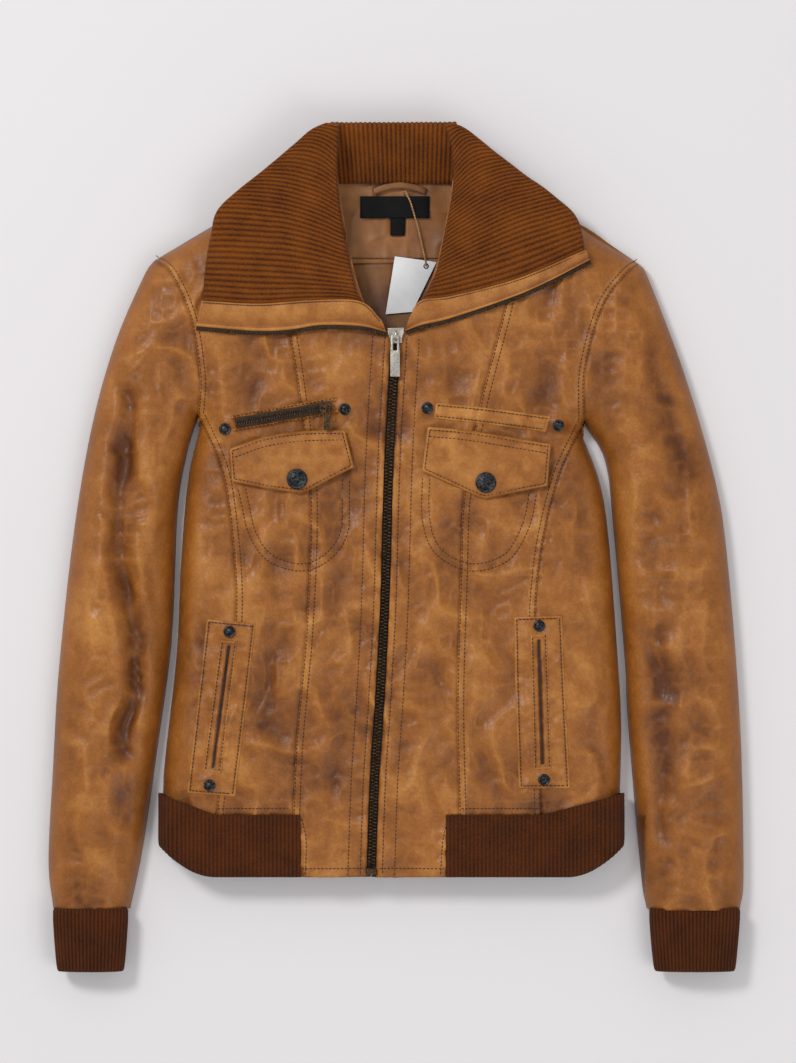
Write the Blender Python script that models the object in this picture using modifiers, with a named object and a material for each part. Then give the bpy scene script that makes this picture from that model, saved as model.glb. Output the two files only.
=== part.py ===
"""A leather blouson with rib-knit collar, cuffs and hem, lying flat on its back with its front up.

The origin is on the floor under the middle of the jacket. +Y runs to the collar, +Z up, and +X to the
wearer's left. The pattern is drawn in millimetres for the base size and graded to WIDTH and LENGTH.
Names that end in _r and _l are the wearer's right and left.
"""

import math

import bmesh
import bpy
import numpy as np

MM = 0.001

# Overall sizes of the jacket as it lies.
WIDTH = 0.602
LENGTH = 0.729
LOFT = 0.036  # height of the front panels over the floor
ROLL = 0.018  # how far in from an edge the front reaches its full height

# Thicknesses.
LEATHER = 0.0025  # leather with its interlining
LINING = 0.0012
RIB = 0.0030
COLLAR = 0.0055  # rib knit folded double
TAPE = 0.0012
GAP = 0.0003  # between pieces that lie on each other
SEAM = 0.0012  # between panels that are sewn edge to edge
COLLAR_SEAM = 0.0025  # between a collar wing and the leather band below it

# Ribs.
CUFF_EASE = 0.0015  # how much narrower the cuff is than the sleeve's end
CUFF_TAPER = 0.008
CUFF_LENGTH = 0.052
HEM_RIB = 0.052
HEM_CORNER = 0.004
HEM_LIFT = 0.026  # how far the lower edge of the hem rib rises at the sides
RISE_WIDTH = 0.047  # over this far from each side

# Front zip.
CHAIN_WIDTH = 0.0056
CHAIN_HEIGHT = 0.0031
ZIP_SLOT = 0.0092  # between the two leather edges
TAPE_WIDTH = 0.014
SLIDER_WIDTH = 0.0146
SLIDER_LENGTH = 0.0130
PULLER_LENGTH = 0.036
PULLER_WIDTH = 0.0086

# Chest pocket zip.
CHEST_CHAIN = 0.0036
CHEST_TAPE = 0.0120
CHEST_SLIDER_WIDTH = 0.0088
CHEST_SLIDER_LENGTH = 0.0110
CHEST_PULLER_LENGTH = 0.0205
CHEST_PULLER_WIDTH = 0.0056

# Trims.
SNAP_RADIUS = 0.0088
SNAP_HEIGHT = 0.0030
STUD_RADIUS = 0.0050
STUD_HEIGHT = 0.0016
RIVET_RADIUS = 0.0051
RIVET_HEIGHT = 0.0026
RIVET_OFF_WELT = 0.0065  # from the end of the chest welt to the middle of the rivet
FLAP = 0.0020
PATCH = 0.0017
WELT = 0.0015
TAG = 0.0006
STRING_RADIUS = 0.0008
LOOP_RADIUS = 0.0010

# The base size that the pattern is drawn for, in millimetres.
BASE_WIDTH = 602.0
BASE_LENGTH = 729.0

GRADE = np.array([WIDTH / BASE_WIDTH, LENGTH / BASE_LENGTH])


def on_pattern(x, y):
    """A point of the pattern, in metres."""
    return np.array([x, y]) * GRADE


class Curve:
    """A smooth curve through pattern points, read by its share of the length."""

    def __init__(self, points, metres=False):
        p = np.array(points, float) if metres else np.array(points, float) * GRADE
        if len(p) > 2 and not metres:
            p = self.smooth(p)
        self.p = p
        step = np.linalg.norm(np.diff(p, axis=0), axis=1)
        self.s = np.concatenate([[0], np.cumsum(step)])

    @staticmethod
    def smooth(p, steps=16):
        ends = np.vstack([2 * p[0] - p[1], p, 2 * p[-1] - p[-2]])
        out = [p[0]]
        for a, b, c, d in zip(ends, ends[1:], ends[2:], ends[3:]):
            for k in range(1, steps + 1):
                t = k / steps
                out.append(
                    0.5 * (2 * b + (c - a) * t + (2 * a - 5 * b + 4 * c - d) * t**2
                           + (3 * b - a - 3 * c + d) * t**3)
                )
        return np.array(out)

    def length(self):
        return self.s[-1]

    def at(self, share):
        s = share * self.s[-1]
        return np.array([np.interp(s, self.s, self.p[:, k]) for k in (0, 1)])

    def then(self, other):
        return Curve(np.vstack([self.p, other.p[1:]]), metres=True)


# Seams and edges. Each runs from the hem or the cuff upwards.
SHOULDER_TIP_R = (-210, 249)
SHOULDER_TIP_L = (211, 246)
SHOULDER_R = Curve([SHOULDER_TIP_R, (-167, 274), (-115, 305), (-52, 341)])
SHOULDER_L = Curve([SHOULDER_TIP_L, (167, 274), (116, 309), (51, 341)])
SIDE_R = Curve([(-202, -212), (-200, -181), (-190, -90), (-186, -9), (-180, 60), (-169, 108)])
SIDE_L = Curve([(194, -212), (195, -151), (192, -95), (184, 10), (176, 59), (160, 101)])
SLEEVE_OUT_R = Curve([(-297, -311), (-301, -269), (-297, -187), (-292, -104), (-279, 15),
                      (-263, 108), (-243, 179), (-219, 235), SHOULDER_TIP_R])
SLEEVE_OUT_L = Curve([(298, -311), (301, -280), (298, -151), (287, -9), (276, 61),
                      (250, 151), (219, 233), SHOULDER_TIP_L])
SLEEVE_IN_R = Curve([(-230, -311), (-219, -257), (-207, -175), (-197, -104), (-193, -57),
                     (-189, 34), (-181, 83), (-171.5, 114)])
SLEEVE_IN_L = Curve([(217, -311), (212, -280), (201, -151), (198, -95), (188, 21), (181, 76),
                     (163, 108)])
ARMHOLE_R = Curve([(-171, 115), (-169, 148), (-177, 199), (-194, 237), SHOULDER_TIP_R])
ARMHOLE_L = Curve([(162.5, 109), (163, 154), (177, 206), (197, 235), SHOULDER_TIP_L])
SIDE_FRONT_R = Curve([(-155, -230), (-144, -130), (-138, -52), (-141, 8), (-150, 68), (-171, 115)])
SIDE_FRONT_L = Curve([(125, -230), (122, -130), (120, -61), (126, 3), (141, 64), (162.5, 109)])
PRINCESS_R = Curve([(-89, -230), (-86, -164), (-77, -61), (-74, 46), (-83, 128), (-94, 197),
                    (-115, 305)])
PRINCESS_L = Curve([(54, -230), (52, -130), (55, -27), (58, 46), (72, 124), (95, 214), (116, 309)])
HEM_TURN_R = Curve([(-84, -282), (-83, -252), (-86, -236), (-89, -230)])
HEM_TURN_L = Curve([(44, -282), (46, -252), (50, -236), (54, -230)])
NECK_R = Curve([(-7, 184), (-26, 209), (-40, 257), (-50, 319), (-52, 341)])
NECK_L = Curve([(7, 184), (23, 214), (38, 257), (49, 319), (51, 341)])
ZIP_TOP = on_pattern(0, 184)
ZIP_END = on_pattern(-21, -274)
ZIP_HEM = on_pattern(-21.4, -282)
HEM_LOW_R = -202
HEM_LOW_L = 194
HEM_LEVEL = -230  # where the hem rib is sewn on in front
HEM_SIDE_LEVEL = -212  # and at the sides

# The outline where the front rolls over: each edge, 1 where the leather is on its left or -1, and
# the part of the jacket that it bounds.
FREE_EDGES = [(SHOULDER_R, -1, "torso"), (SHOULDER_L, 1, "torso"), (SIDE_R, -1, "torso"),
              (SIDE_L, 1, "torso"), (SLEEVE_OUT_R, -1, "sleeve_r"), (SLEEVE_IN_R, 1, "sleeve_r"),
              (SLEEVE_OUT_L, 1, "sleeve_l"), (SLEEVE_IN_L, -1, "sleeve_l")]
EDGE_STARTS = np.vstack([c.p[:-1] for c, _, _ in FREE_EDGES])
EDGE_RUNS = np.vstack([np.diff(c.p, axis=0) for c, _, _ in FREE_EDGES])
EDGE_TURNS = np.concatenate([[turn] * (len(c.p) - 1) for c, turn, _ in FREE_EDGES])
EDGE_OWNERS = np.concatenate([[owner] * (len(c.p) - 1) for c, _, owner in FREE_EDGES])
EDGE_SIDES = np.column_stack([-EDGE_RUNS[:, 1], EDGE_RUNS[:, 0]]) * EDGE_TURNS[:, None]
EDGE_SIDES /= np.linalg.norm(EDGE_SIDES, axis=1)[:, None]
SKIRT = LEATHER + GAP  # where the rolled edge of the front meets the back


def nearest_edge(p, owner):
    """How far p is inside the jacket's outline, and the direction inwards."""
    share = ((p - EDGE_STARTS) * EDGE_RUNS).sum(1) / (EDGE_RUNS**2).sum(1)
    away = p - (EDGE_STARTS + EDGE_RUNS * np.clip(share, 0, 1)[:, None])
    d = np.linalg.norm(away, axis=1)
    k = d.argmin()
    outside = EDGE_OWNERS[k] == owner and d[k] < 0.1 * ROLL and away[k] @ EDGE_SIDES[k] < 0
    side = -1 if outside else 1
    if d[k] < GAP:
        return side * d[k], EDGE_SIDES[k]
    return side * d[k], side * away[k] / d[k]


def front_skin(owner):
    """The rolled front surface of one part of the jacket."""

    def skin(p, depth=0.0):
        """The point of the surface above p, sunk by depth along the surface's normal."""
        d, inward = nearest_edge(p, owner)
        d = max(0.0, d - SEAM / 2)
        turn = math.acos(max(0.0, 1 - d / ROLL))
        rise = LOFT - SKIRT
        z = SKIRT + rise * math.sin(turn)
        slope = np.array([math.cos(turn) * rise, math.sin(turn) * ROLL])
        across, up = slope / np.linalg.norm(slope)
        flat = p + inward * across * depth
        return [flat[0], flat[1], z - up * depth]

    return skin


def flat_skin(z):
    return lambda p, depth=0.0: [p[0], p[1], z - depth]


def shares(length, near=0.0, far=0.0, count=8):
    """Shares of a length, closer together over near and far, where the surface rolls."""
    near, far = min(near, 0.45 * length), min(far, 0.45 * length)
    turns = [1 - math.cos(math.radians(a)) for a in (0, 22.5, 45, 67.5)]
    head = [near * t for t in turns] if near else [0.0]
    tail = [length - far * t for t in reversed(turns)] if far else [length]
    first, last = (near, length - far)
    inner = [first + (last - first) * k / count for k in range(count + 1)]
    inner = inner[(0 if near else 1):(count + 1 if far else count)]
    return np.array(head + inner + tail) / length


PIECES = bpy.data.collections.new("leather_jacket")
CUTTERS = bpy.data.collections.new("leather_jacket_cutters")


def clear_scene():
    for obj in list(bpy.data.objects):
        bpy.data.objects.remove(obj, do_unlink=True)
    for group in (PIECES, CUTTERS):
        bpy.context.scene.collection.children.link(group)


def material(name, colour, roughness, metallic=0.0):
    made = bpy.data.materials.new(name)
    made.use_nodes = True
    shader = made.node_tree.nodes["Principled BSDF"]
    shader.inputs["Base Color"].default_value = (*colour, 1)
    shader.inputs["Roughness"].default_value = roughness
    shader.inputs["Metallic"].default_value = metallic
    return made


FINISHES = {
    "leather": material("cognac_leather", (0.36, 0.14, 0.035), 0.45),
    "rib": material("rib_knit", (0.16, 0.05, 0.012), 0.85),
    "lining": material("satin_lining", (0.25, 0.12, 0.045), 0.5),
    "tape": material("zip_tape", (0.05, 0.025, 0.012), 0.8),
    "brass": material("antique_brass", (0.12, 0.09, 0.06), 0.4, 1.0),
    "nickel": material("nickel", (0.55, 0.52, 0.48), 0.3, 1.0),
    "gunmetal": material("gunmetal", (0.07, 0.065, 0.06), 0.35, 1.0),
    "card": material("white_card", (0.85, 0.85, 0.85), 0.6),
    "label": material("black_satin", (0.012, 0.012, 0.012), 0.5),
    "string": material("hemp_string", (0.42, 0.26, 0.13), 0.8),
}


def keep(obj, finish, group=PIECES):
    obj.data.materials.append(FINISHES[finish])
    group.objects.link(obj)
    return obj


def mesh_object(name, bm, finish, smooth=None, group=PIECES):
    bmesh.ops.recalc_face_normals(bm, faces=bm.faces)
    if bm.calc_volume(signed=True) < 0:
        bmesh.ops.reverse_faces(bm, faces=bm.faces)
    mesh = bpy.data.meshes.new(name)
    bm.to_mesh(mesh)
    bm.free()
    if smooth:
        mesh.shade_smooth()
        mesh.set_sharp_from_angle(angle=math.radians(smooth))
    return keep(bpy.data.objects.new(name, mesh), finish, group)


def loft(name, outer, inner, finish, ring=False):
    """One closed body between two grids of points, outer and inner, each a list of rows."""
    bm = bmesh.new()
    grids = [[[bm.verts.new(p) for p in row] for row in grid] for grid in (outer, inner)]
    rows, columns = len(outer), len(outer[0])
    spans = columns if ring else columns - 1
    for grid in grids:
        for i in range(rows - 1):
            for j in range(spans):
                k = (j + 1) % columns
                bm.faces.new([grid[i][j], grid[i][k], grid[i + 1][k], grid[i + 1][j]])
    top, low = grids
    for i in (0, rows - 1):
        for j in range(spans):
            k = (j + 1) % columns
            bm.faces.new([top[i][j], top[i][k], low[i][k], low[i][j]])
    if not ring:
        for j in (0, columns - 1):
            for i in range(rows - 1):
                bm.faces.new([top[i][j], top[i + 1][j], low[i + 1][j], low[i][j]])
    return mesh_object(name, bm, finish, smooth=40)


def panel(name, left, right, skin, thickness, finish, rolls=(0, 0, 0), count=(4, 8), ends=(0, 1)):
    """A sewn panel between two seams. rolls are the left, right and top widths that roll over."""
    along = shares(left.length(), 0, rolls[2], count[1])
    along = ends[0] + (ends[1] - ends[0]) * along
    outer, inner = [], []
    for t in along:
        a, b = left.at(t), right.at(t)
        width = np.linalg.norm(b - a)
        cut = min(SEAM / 2 / width, 0.2)
        across = shares(width, rolls[0], rolls[1], count[0])
        points = [a + (b - a) * (cut + (1 - 2 * cut) * s) for s in across]
        outer.append([skin(p) for p in points])
        inner.append([skin(p, thickness) for p in points])
    return loft(name, outer, inner, finish)


def plate(name, outlines, z, thickness, finish, origin=(0, 0)):
    """A flat piece cut to an outline, with its holes as further outlines, all in metres."""
    curve = bpy.data.curves.new(name, "CURVE")
    curve.dimensions = "2D"
    curve.fill_mode = "BOTH"
    curve.extrude = thickness / 2
    for outline in outlines:
        spline = curve.splines.new("POLY")
        spline.points.add(len(outline) - 1)
        for point, (x, y) in zip(spline.points, outline):
            point.co = (x - origin[0], y - origin[1], 0, 1)
        spline.use_cyclic_u = True
    obj = keep(bpy.data.objects.new(name, curve), finish)
    obj.location = (*origin, z + thickness / 2)
    return obj


def tube(name, points, radius, finish, resolution=2):
    curve = bpy.data.curves.new(name, "CURVE")
    curve.dimensions = "3D"
    curve.bevel_depth = radius
    curve.bevel_resolution = resolution
    curve.use_fill_caps = True
    spline = curve.splines.new("POLY")
    spline.points.add(len(points) - 1)
    for point, place in zip(spline.points, points):
        point.co = (*place, 1)
    return keep(bpy.data.objects.new(name, curve), finish)


def dome(name, place, z, radius, height, finish):
    """A turned fastener head with a short straight rim under a shallow dome."""
    rim = height * 0.3
    angles = [math.radians(a) for a in (90, 65, 40, 15, 0)]
    profile = [(radius * math.cos(a), rim + (height - rim) * math.sin(a)) for a in angles]
    profile[0] = (0.0, height)
    profile += [(radius, 0.0), (0.0, 0.0)]
    mesh = bpy.data.meshes.new(name)
    edges = [(k, k + 1) for k in range(len(profile) - 1)]
    mesh.from_pydata([(x, 0, z) for x, z in profile], edges, [])
    obj = keep(bpy.data.objects.new(name, mesh), finish)
    obj.location = (place[0], place[1], z)
    turn = obj.modifiers.new("turn", "SCREW")
    turn.steps = turn.render_steps = 16
    turn.use_merge_vertices = True
    turn.merge_threshold = 0.00005
    turn.use_smooth_shade = True
    return obj


def block(name, low, high, finish, group=PIECES):
    bm = bmesh.new()
    bmesh.ops.create_cube(bm, size=1)
    low, high = np.array(low), np.array(high)
    bmesh.ops.scale(bm, vec=high - low, verts=bm.verts)
    bmesh.ops.translate(bm, vec=(low + high) / 2, verts=bm.verts)
    return mesh_object(name, bm, finish, group=group)


def united(name, boxes, finish):
    """One body made of boxes that run into each other."""
    body = block(name, *boxes[0], finish)
    for k, (low, high) in enumerate(boxes[1:]):
        other = block(f"{name}_part_{k}", low, high, finish, CUTTERS)
        other.hide_render = True
        other.display_type = "WIRE"
        join = body.modifiers.new(f"join_{k}", "BOOLEAN")
        join.operation = "UNION"
        join.object = other
        other.parent = body
    return body


FRONT = LOFT + GAP  # where a piece laid on the front panels starts
BACK = LEATHER + GAP  # where a piece laid on the back panel starts


def build_front():
    """Six front panels: side, middle and centre on each side of the zip."""
    along = ZIP_HEM - ZIP_TOP
    side = np.array([along[1], -along[0]]) / np.linalg.norm(along)
    if side[0] > 0:
        side = -side
    half = side * ZIP_SLOT / 2
    zip_r = Curve([ZIP_HEM + half, ZIP_TOP + half], metres=True)
    zip_l = Curve([ZIP_HEM - half, ZIP_TOP - half], metres=True)
    neck_r, neck_l = Curve(NECK_R.p[1:], metres=True), Curve(NECK_L.p[1:], metres=True)
    for part, edge, front, rolls in (("r", SIDE_R, SIDE_FRONT_R, (ROLL, 0, 0)),
                                     ("l", SIDE_L, SIDE_FRONT_L, (0, ROLL, 0))):
        pair = (edge, front) if part == "r" else (front, edge)
        panel(f"side_panel_{part}", *pair, front_skin("torso"), LEATHER, "leather", rolls, (2, 12),
              (0, 0.97))
    for part, front, hole, princess in (("r", SIDE_FRONT_R, ARMHOLE_R, PRINCESS_R),
                                        ("l", SIDE_FRONT_L, ARMHOLE_L, PRINCESS_L)):
        outer = front.then(hole)
        pair = (outer, princess) if part == "r" else (princess, outer)
        rolls = (ROLL, 0, ROLL) if part == "r" else (0, ROLL, ROLL)
        panel(f"front_mid_{part}", *pair, front_skin("torso"), LEATHER, "leather", rolls, (3, 16))
    centre_r = HEM_TURN_R.then(PRINCESS_R)
    centre_l = HEM_TURN_L.then(PRINCESS_L)
    panel("front_centre_r", centre_r, zip_r.then(neck_r), front_skin("torso"), LEATHER, "leather",
          (0, 0, ROLL), (3, 16))
    panel("front_centre_l", zip_l.then(neck_l), centre_l, front_skin("torso"), LEATHER, "leather",
          (0, 0, ROLL), (3, 16))


def build_back():
    """The back panel, its lining and the neck facing, flat on the floor and on each other."""
    left = SIDE_R.then(ARMHOLE_R).then(SHOULDER_R)
    right = SIDE_L.then(ARMHOLE_L).then(SHOULDER_L)
    panel("back_panel", left, right, flat_skin(LEATHER), LEATHER, "leather", count=(4, 40))
    inset = 22
    lining_r = Curve([(-202 + inset, -205), (-170, -90), (-164, -9), (-150, 105), (-150, 180),
                      (-140, 247)])
    lining_l = Curve([(194 - inset, -205), (170, -90), (162, -9), (142, 105), (150, 180),
                      (140, 247)])
    panel("back_lining", lining_r, lining_l, flat_skin(BACK + LINING), LINING, "lining",
          count=(2, 12))
    facing_r = Curve([(-140, 248), (-104, 290), (-46, 336)])
    facing_l = Curve([(140, 248), (104, 290), (46, 336)])
    panel("neck_facing", facing_r, facing_l, flat_skin(BACK + LINING), LINING, "lining",
          count=(2, 6))


def side_profile(edge, inward, depth):
    """The wall of a rib at a side, from the front down to the floor, as (x, z) sunk by depth."""
    out = []
    for degrees in (90, 67.5, 45, 22.5, 0):
        a = math.radians(degrees)
        reach, rise = ROLL - depth, LOFT - HEM_CORNER - depth
        out.append((edge + inward * (ROLL - reach * math.cos(a)),
                    HEM_CORNER + rise * math.sin(a)))
    for degrees in (45, 90):
        a = math.radians(degrees)
        r = HEM_CORNER - depth
        out.append((edge + inward * (HEM_CORNER - r * math.cos(a)),
                    HEM_CORNER - r * math.sin(a)))
    return out


def build_hem_rib():
    """One rib band from the wearer's right front, round the back, to the left front."""
    edge_r, edge_l = on_pattern(HEM_LOW_R, 0)[0], on_pattern(HEM_LOW_L, 0)[0]
    start, end = on_pattern(-88.5, 0)[0], on_pattern(53, 0)[0]
    top, drop = on_pattern(0, HEM_LEVEL)[1], -HEM_RIB
    rise = on_pattern(0, HEM_SIDE_LEVEL)[1] - top
    seam = SEAM * (1 + (rise / RISE_WIDTH) ** 2)  # the steeper the seam, the more it needs upright

    def walk(depth):
        path = [(start, LOFT - depth), (edge_r + RISE_WIDTH, LOFT - depth)]
        path += side_profile(edge_r, 1, depth)
        path += side_profile(edge_l, -1, depth)[::-1]
        path += [(edge_l - RISE_WIDTH, LOFT - depth), (end, LOFT - depth)]
        return path

    def heights(x):
        near = max(0.0, 1 - min(x - edge_r, edge_l - x) / RISE_WIDTH)
        return top + near * rise - seam, top + drop + near**2 * HEM_LIFT

    outer, inner = walk(0), walk(RIB)
    rows = []
    for path in (outer, inner):
        grid = []
        for (x, z), (ox, _) in zip(path, outer):
            high, low = heights(ox)
            grid.append([(x, high, z), (x, low, z)])
        rows.append(grid)
    loft("hem_rib", rows[0], rows[1], "rib")


def cuff_ring(half, depth):
    """The section of a cuff across its length, sunk by depth, as (x, z)."""
    right = [(x, z) for x, z in side_profile(half, -1, depth)]
    left = [(-x, z) for x, z in right[::-1]]
    return right + left


def build_sleeve(side, outside, inside, hole):
    """A sleeve of an upper and an under panel with its rib cuff, on the shoulder's axis."""
    upper = inside.then(hole)
    left, right = (outside, upper) if side == "r" else (upper, outside)
    rolls = (ROLL, ROLL, 0)
    pieces = [
        panel(f"upper_sleeve_{side}", left, right, front_skin(f"sleeve_{side}"), LEATHER, "leather",
              rolls, (2, 20), (0, 0.965)),
        panel(f"under_sleeve_{side}", left, right, flat_skin(LEATHER), LEATHER, "leather",
              count=(2, 20), ends=(0, 0.965)),
    ]
    a, b = outside.at(0), inside.at(0)
    middle, top, wide = (a[0] + b[0]) / 2, a[1] - SEAM, abs(b[0] - a[0]) - CUFF_EASE
    outer, inner = [], []
    for share in (0, 0.5, 1):
        y, width = top - share * CUFF_LENGTH, wide - share * CUFF_TAPER
        outer.append([(middle + x, y, z) for x, z in cuff_ring(width / 2, 0)])
        inner.append([(middle + x, y, z) for x, z in cuff_ring(width / 2, RIB)])
    pieces.append(loft(f"cuff_rib_{side}", outer, inner, "rib", ring=True))
    pivot = bpy.data.objects.new(f"sleeve_pivot_{side}", None)
    pivot.location = (*hole.at(1), 0)
    PIECES.objects.link(pivot)
    hang_on(pivot, pieces)


def hang_on(pivot, pieces):
    for obj in pieces:
        obj.parent = pivot
        obj.location = obj.location - pivot.location


def build_collar():
    """The rib collar: a stand behind the neck and two wings folded out over the front."""
    low_z, high_z = BACK + LINING + GAP, LOFT - COLLAR - 0.001
    low, high = on_pattern(0, 319)[1], on_pattern(0, 364)[1]

    def rising(p, depth=0.0):
        share = (p[1] - low) / (high - low)
        return [p[0], p[1], low_z + (high_z - low_z) * share + COLLAR - depth]

    panel("collar_stand", Curve([(-49, 319), (-50, 345), (-54, 364)]),
          Curve([(48, 319), (48, 345), (50, 364)]), rising, COLLAR, "rib", count=(6, 4))
    top = FRONT + COLLAR
    seam = COLLAR_SEAM / GRADE[1]
    wings = {
        "r": (Curve([(-166, 212 + seam), (-159, 270), (-149, 295), (-115, 324), (-67, 363)]),
              Curve([(-27, 212 + seam), (-34, 223), (-42, 261), (-50, 319), (-55, 357)])),
        "l": (Curve([(23, 214.5 + seam), (34, 238), (42, 276), (49, 319), (52, 357)]),
              Curve([(162, 255.5 + seam), (156, 283), (147, 294), (95, 333), (54, 364)])),
    }
    bands = {
        "r": (Curve([(-166, 212), (-100, 212), (-31, 212), (-12, 195)]),
              Curve([(-171, 192), (-121, 189), (-64, 192), (-12, 188)])),
        "l": (Curve([(162, 257), (104, 231), (47, 216), (21, 213), (12, 198)]),
              Curve([(166, 248), (100, 216), (47, 198), (11, 189)])),
    }
    folds = {"r": (-54, 358), "l": (51.5, 358)}
    for side, (left, right) in wings.items():
        wing = panel(f"collar_wing_{side}", left, right, flat_skin(top), COLLAR, "rib",
                     count=(4, 10))
        upper, lower = bands[side]
        rim = [upper.at(k / 14) for k in range(15)] + [lower.at(1 - k / 14) for k in range(15)]
        band = plate(f"collar_band_{side}", [rim], FRONT, LEATHER + TAPE, "leather")
        pivot = bpy.data.objects.new(f"collar_pivot_{side}", None)
        pivot.location = (*on_pattern(*folds[side]), FRONT)
        PIECES.objects.link(pivot)
        hang_on(pivot, [wing, band])


def strip(start, end, near, far):
    """The four corners of a strip beside a line, from near to far off it."""
    run = (end - start) / np.linalg.norm(end - start)
    side = np.array([-run[1], run[0]])
    return [start + side * near, end + side * near, end + side * far, start + side * far]


CHAIN_FLOOR = LOFT - LEATHER  # the chain stands on its tapes, between the leather edges
CHAIN_TOP = CHAIN_FLOOR + CHAIN_HEIGHT
RUN_CLEAR = 0.0003  # between a slider and its chain


def slider_boxes(width, length, chain, floor, top, bail):
    """A slider's saddle over its chain, and the bail that holds the puller, in its own frame."""
    inner = chain / 2 + RUN_CLEAR
    wall = 0.0011
    plate_low, plate_high = top + RUN_CLEAR, top + RUN_CLEAR + 0.0019
    post, reach, rise = 0.0011, min(width, length) * 0.33, 0.0029
    thick = 0.0020
    boxes = [((-width / 2, -length / 2, plate_low), (width / 2, length / 2, plate_high))]
    for s in (-1, 1):
        xs = sorted((s * inner, s * (inner + wall)))
        boxes.append(((xs[0], -length / 2 + 0.0008, floor), (xs[1], length / 2 - 0.0008,
                                                             plate_low + 0.0004)))
    for s in (-1, 1):
        low, high = sorted((s * reach, s * (reach - post)))
        box = [(-thick / 2, low), (thick / 2, high)]
        if bail == "across":
            box = [(low, -thick / 2), (high, thick / 2)]
        boxes.append(((*box[0], plate_high - 0.0004), (*box[1], plate_high + rise)))
    box = [(-thick / 2, -reach), (thick / 2, reach)]
    if bail == "across":
        box = [(-reach, -thick / 2), (reach, thick / 2)]
    boxes.append(((*box[0], plate_high + rise - 0.0004), (*box[1], plate_high + rise + 0.0010)))
    return boxes, plate_high, reach


def puller_outline(length, width, reach, slot):
    """A puller hanging from its eye at (0, 0), with its eye and, where it has one, a slot."""
    eye, bar = reach + 0.0018, 0.0007
    opening = width / 2 - 0.0013
    outline = [(-width / 2, bar), (width / 2, bar), (width / 2, -length + 0.001),
               (width / 2 - 0.001, -length), (-width / 2 + 0.001, -length),
               (-width / 2, -length + 0.001)]
    hole = [(-opening, -bar), (opening, -bar), (opening, -eye), (-opening, -eye)]
    outlines = [outline, hole]
    if slot:
        outlines.append([(-opening, -eye - 0.002), (opening, -eye - 0.002),
                         (opening, -eye - slot), (-opening, -eye - slot)])
    return outlines


def placed(obj, place, turn):
    """Sets a piece that is made in its own frame at its place on the pattern."""
    obj.rotation_euler.z = turn
    obj.location = (*place, obj.location.z)
    return obj


def build_front_zip():
    run = (ZIP_END - ZIP_TOP) / np.linalg.norm(ZIP_END - ZIP_TOP)
    turn = math.atan2(run[0], -run[1])
    low = CHAIN_FLOOR - GAP - TAPE
    for side, near, far in (("r", -SEAM / 2, -TAPE_WIDTH), ("l", SEAM / 2, TAPE_WIDTH)):
        corners = strip(ZIP_TOP, ZIP_HEM, near, far)
        plate(f"zip_tape_{side}", [corners], low, TAPE, "tape")
    stop = ZIP_END + run * 0.0002
    chain = strip(ZIP_TOP - run * 0.001, ZIP_END, -CHAIN_WIDTH / 2, CHAIN_WIDTH / 2)
    plate("zip_chain", [chain], CHAIN_FLOOR, CHAIN_HEIGHT, "brass")
    box = strip(stop + run * GAP, stop + run * 0.006, -0.0040, 0.0040)
    plate("zip_box", [box], CHAIN_FLOOR, CHAIN_HEIGHT + 0.0006, "brass")
    boxes, top, reach = slider_boxes(SLIDER_WIDTH, SLIDER_LENGTH, CHAIN_WIDTH, CHAIN_FLOOR,
                                     CHAIN_TOP, "along")
    place = ZIP_TOP + run * SLIDER_LENGTH * 0.06
    placed(united("zip_slider", boxes, "gunmetal"), place, turn)
    outlines = puller_outline(PULLER_LENGTH, PULLER_WIDTH, reach, PULLER_LENGTH * 0.55)
    puller = plate("zip_puller", outlines, top + RUN_CLEAR + GAP, 0.0014, "nickel")
    placed(puller, place, turn)


CHEST_ZIP_R = (on_pattern(-138, 108), on_pattern(-53, 123))


def build_chest_zip():
    """The zip pocket on the wearer's right chest, set on the leather."""
    start, end = CHEST_ZIP_R
    run = (end - start) / np.linalg.norm(end - start)
    turn = math.atan2(run[1], run[0])
    base = FRONT
    plate("chest_zip_tape", [strip(start, end, -CHEST_TAPE / 2, CHEST_TAPE / 2)], base, TAPE, "tape")
    floor = base + TAPE + GAP
    chain = strip(start + run * 0.002, end - run * 0.0006, -CHEST_CHAIN / 2, CHEST_CHAIN / 2)
    plate("chest_zip_chain", [chain], floor, 0.0016, "brass")
    boxes, top, reach = slider_boxes(CHEST_SLIDER_WIDTH, CHEST_SLIDER_LENGTH, CHEST_CHAIN, floor,
                                     floor + 0.0016, "across")
    place = end - run * 0.0075
    placed(united("chest_zip_slider", boxes, "gunmetal"), place, turn - math.pi / 2)
    outlines = puller_outline(CHEST_PULLER_LENGTH, CHEST_PULLER_WIDTH, reach, 0)
    puller = plate("chest_zip_puller", outlines, top + RUN_CLEAR + GAP, 0.0014, "brass")
    placed(puller, place, turn)


FLAPS = {
    "r": [(-141, 84.5), (-45, 96.5), (-36, 70), (-81, 48), (-141, 58)],
    "l": [(27, 98), (132, 85), (130, 54), (77, 43), (22, 67)],
}
SNAPS = {"r": (-85, 60), "l": (77, 57)}
FLAP_FLOOR = FRONT + STUD_HEIGHT + GAP


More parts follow.
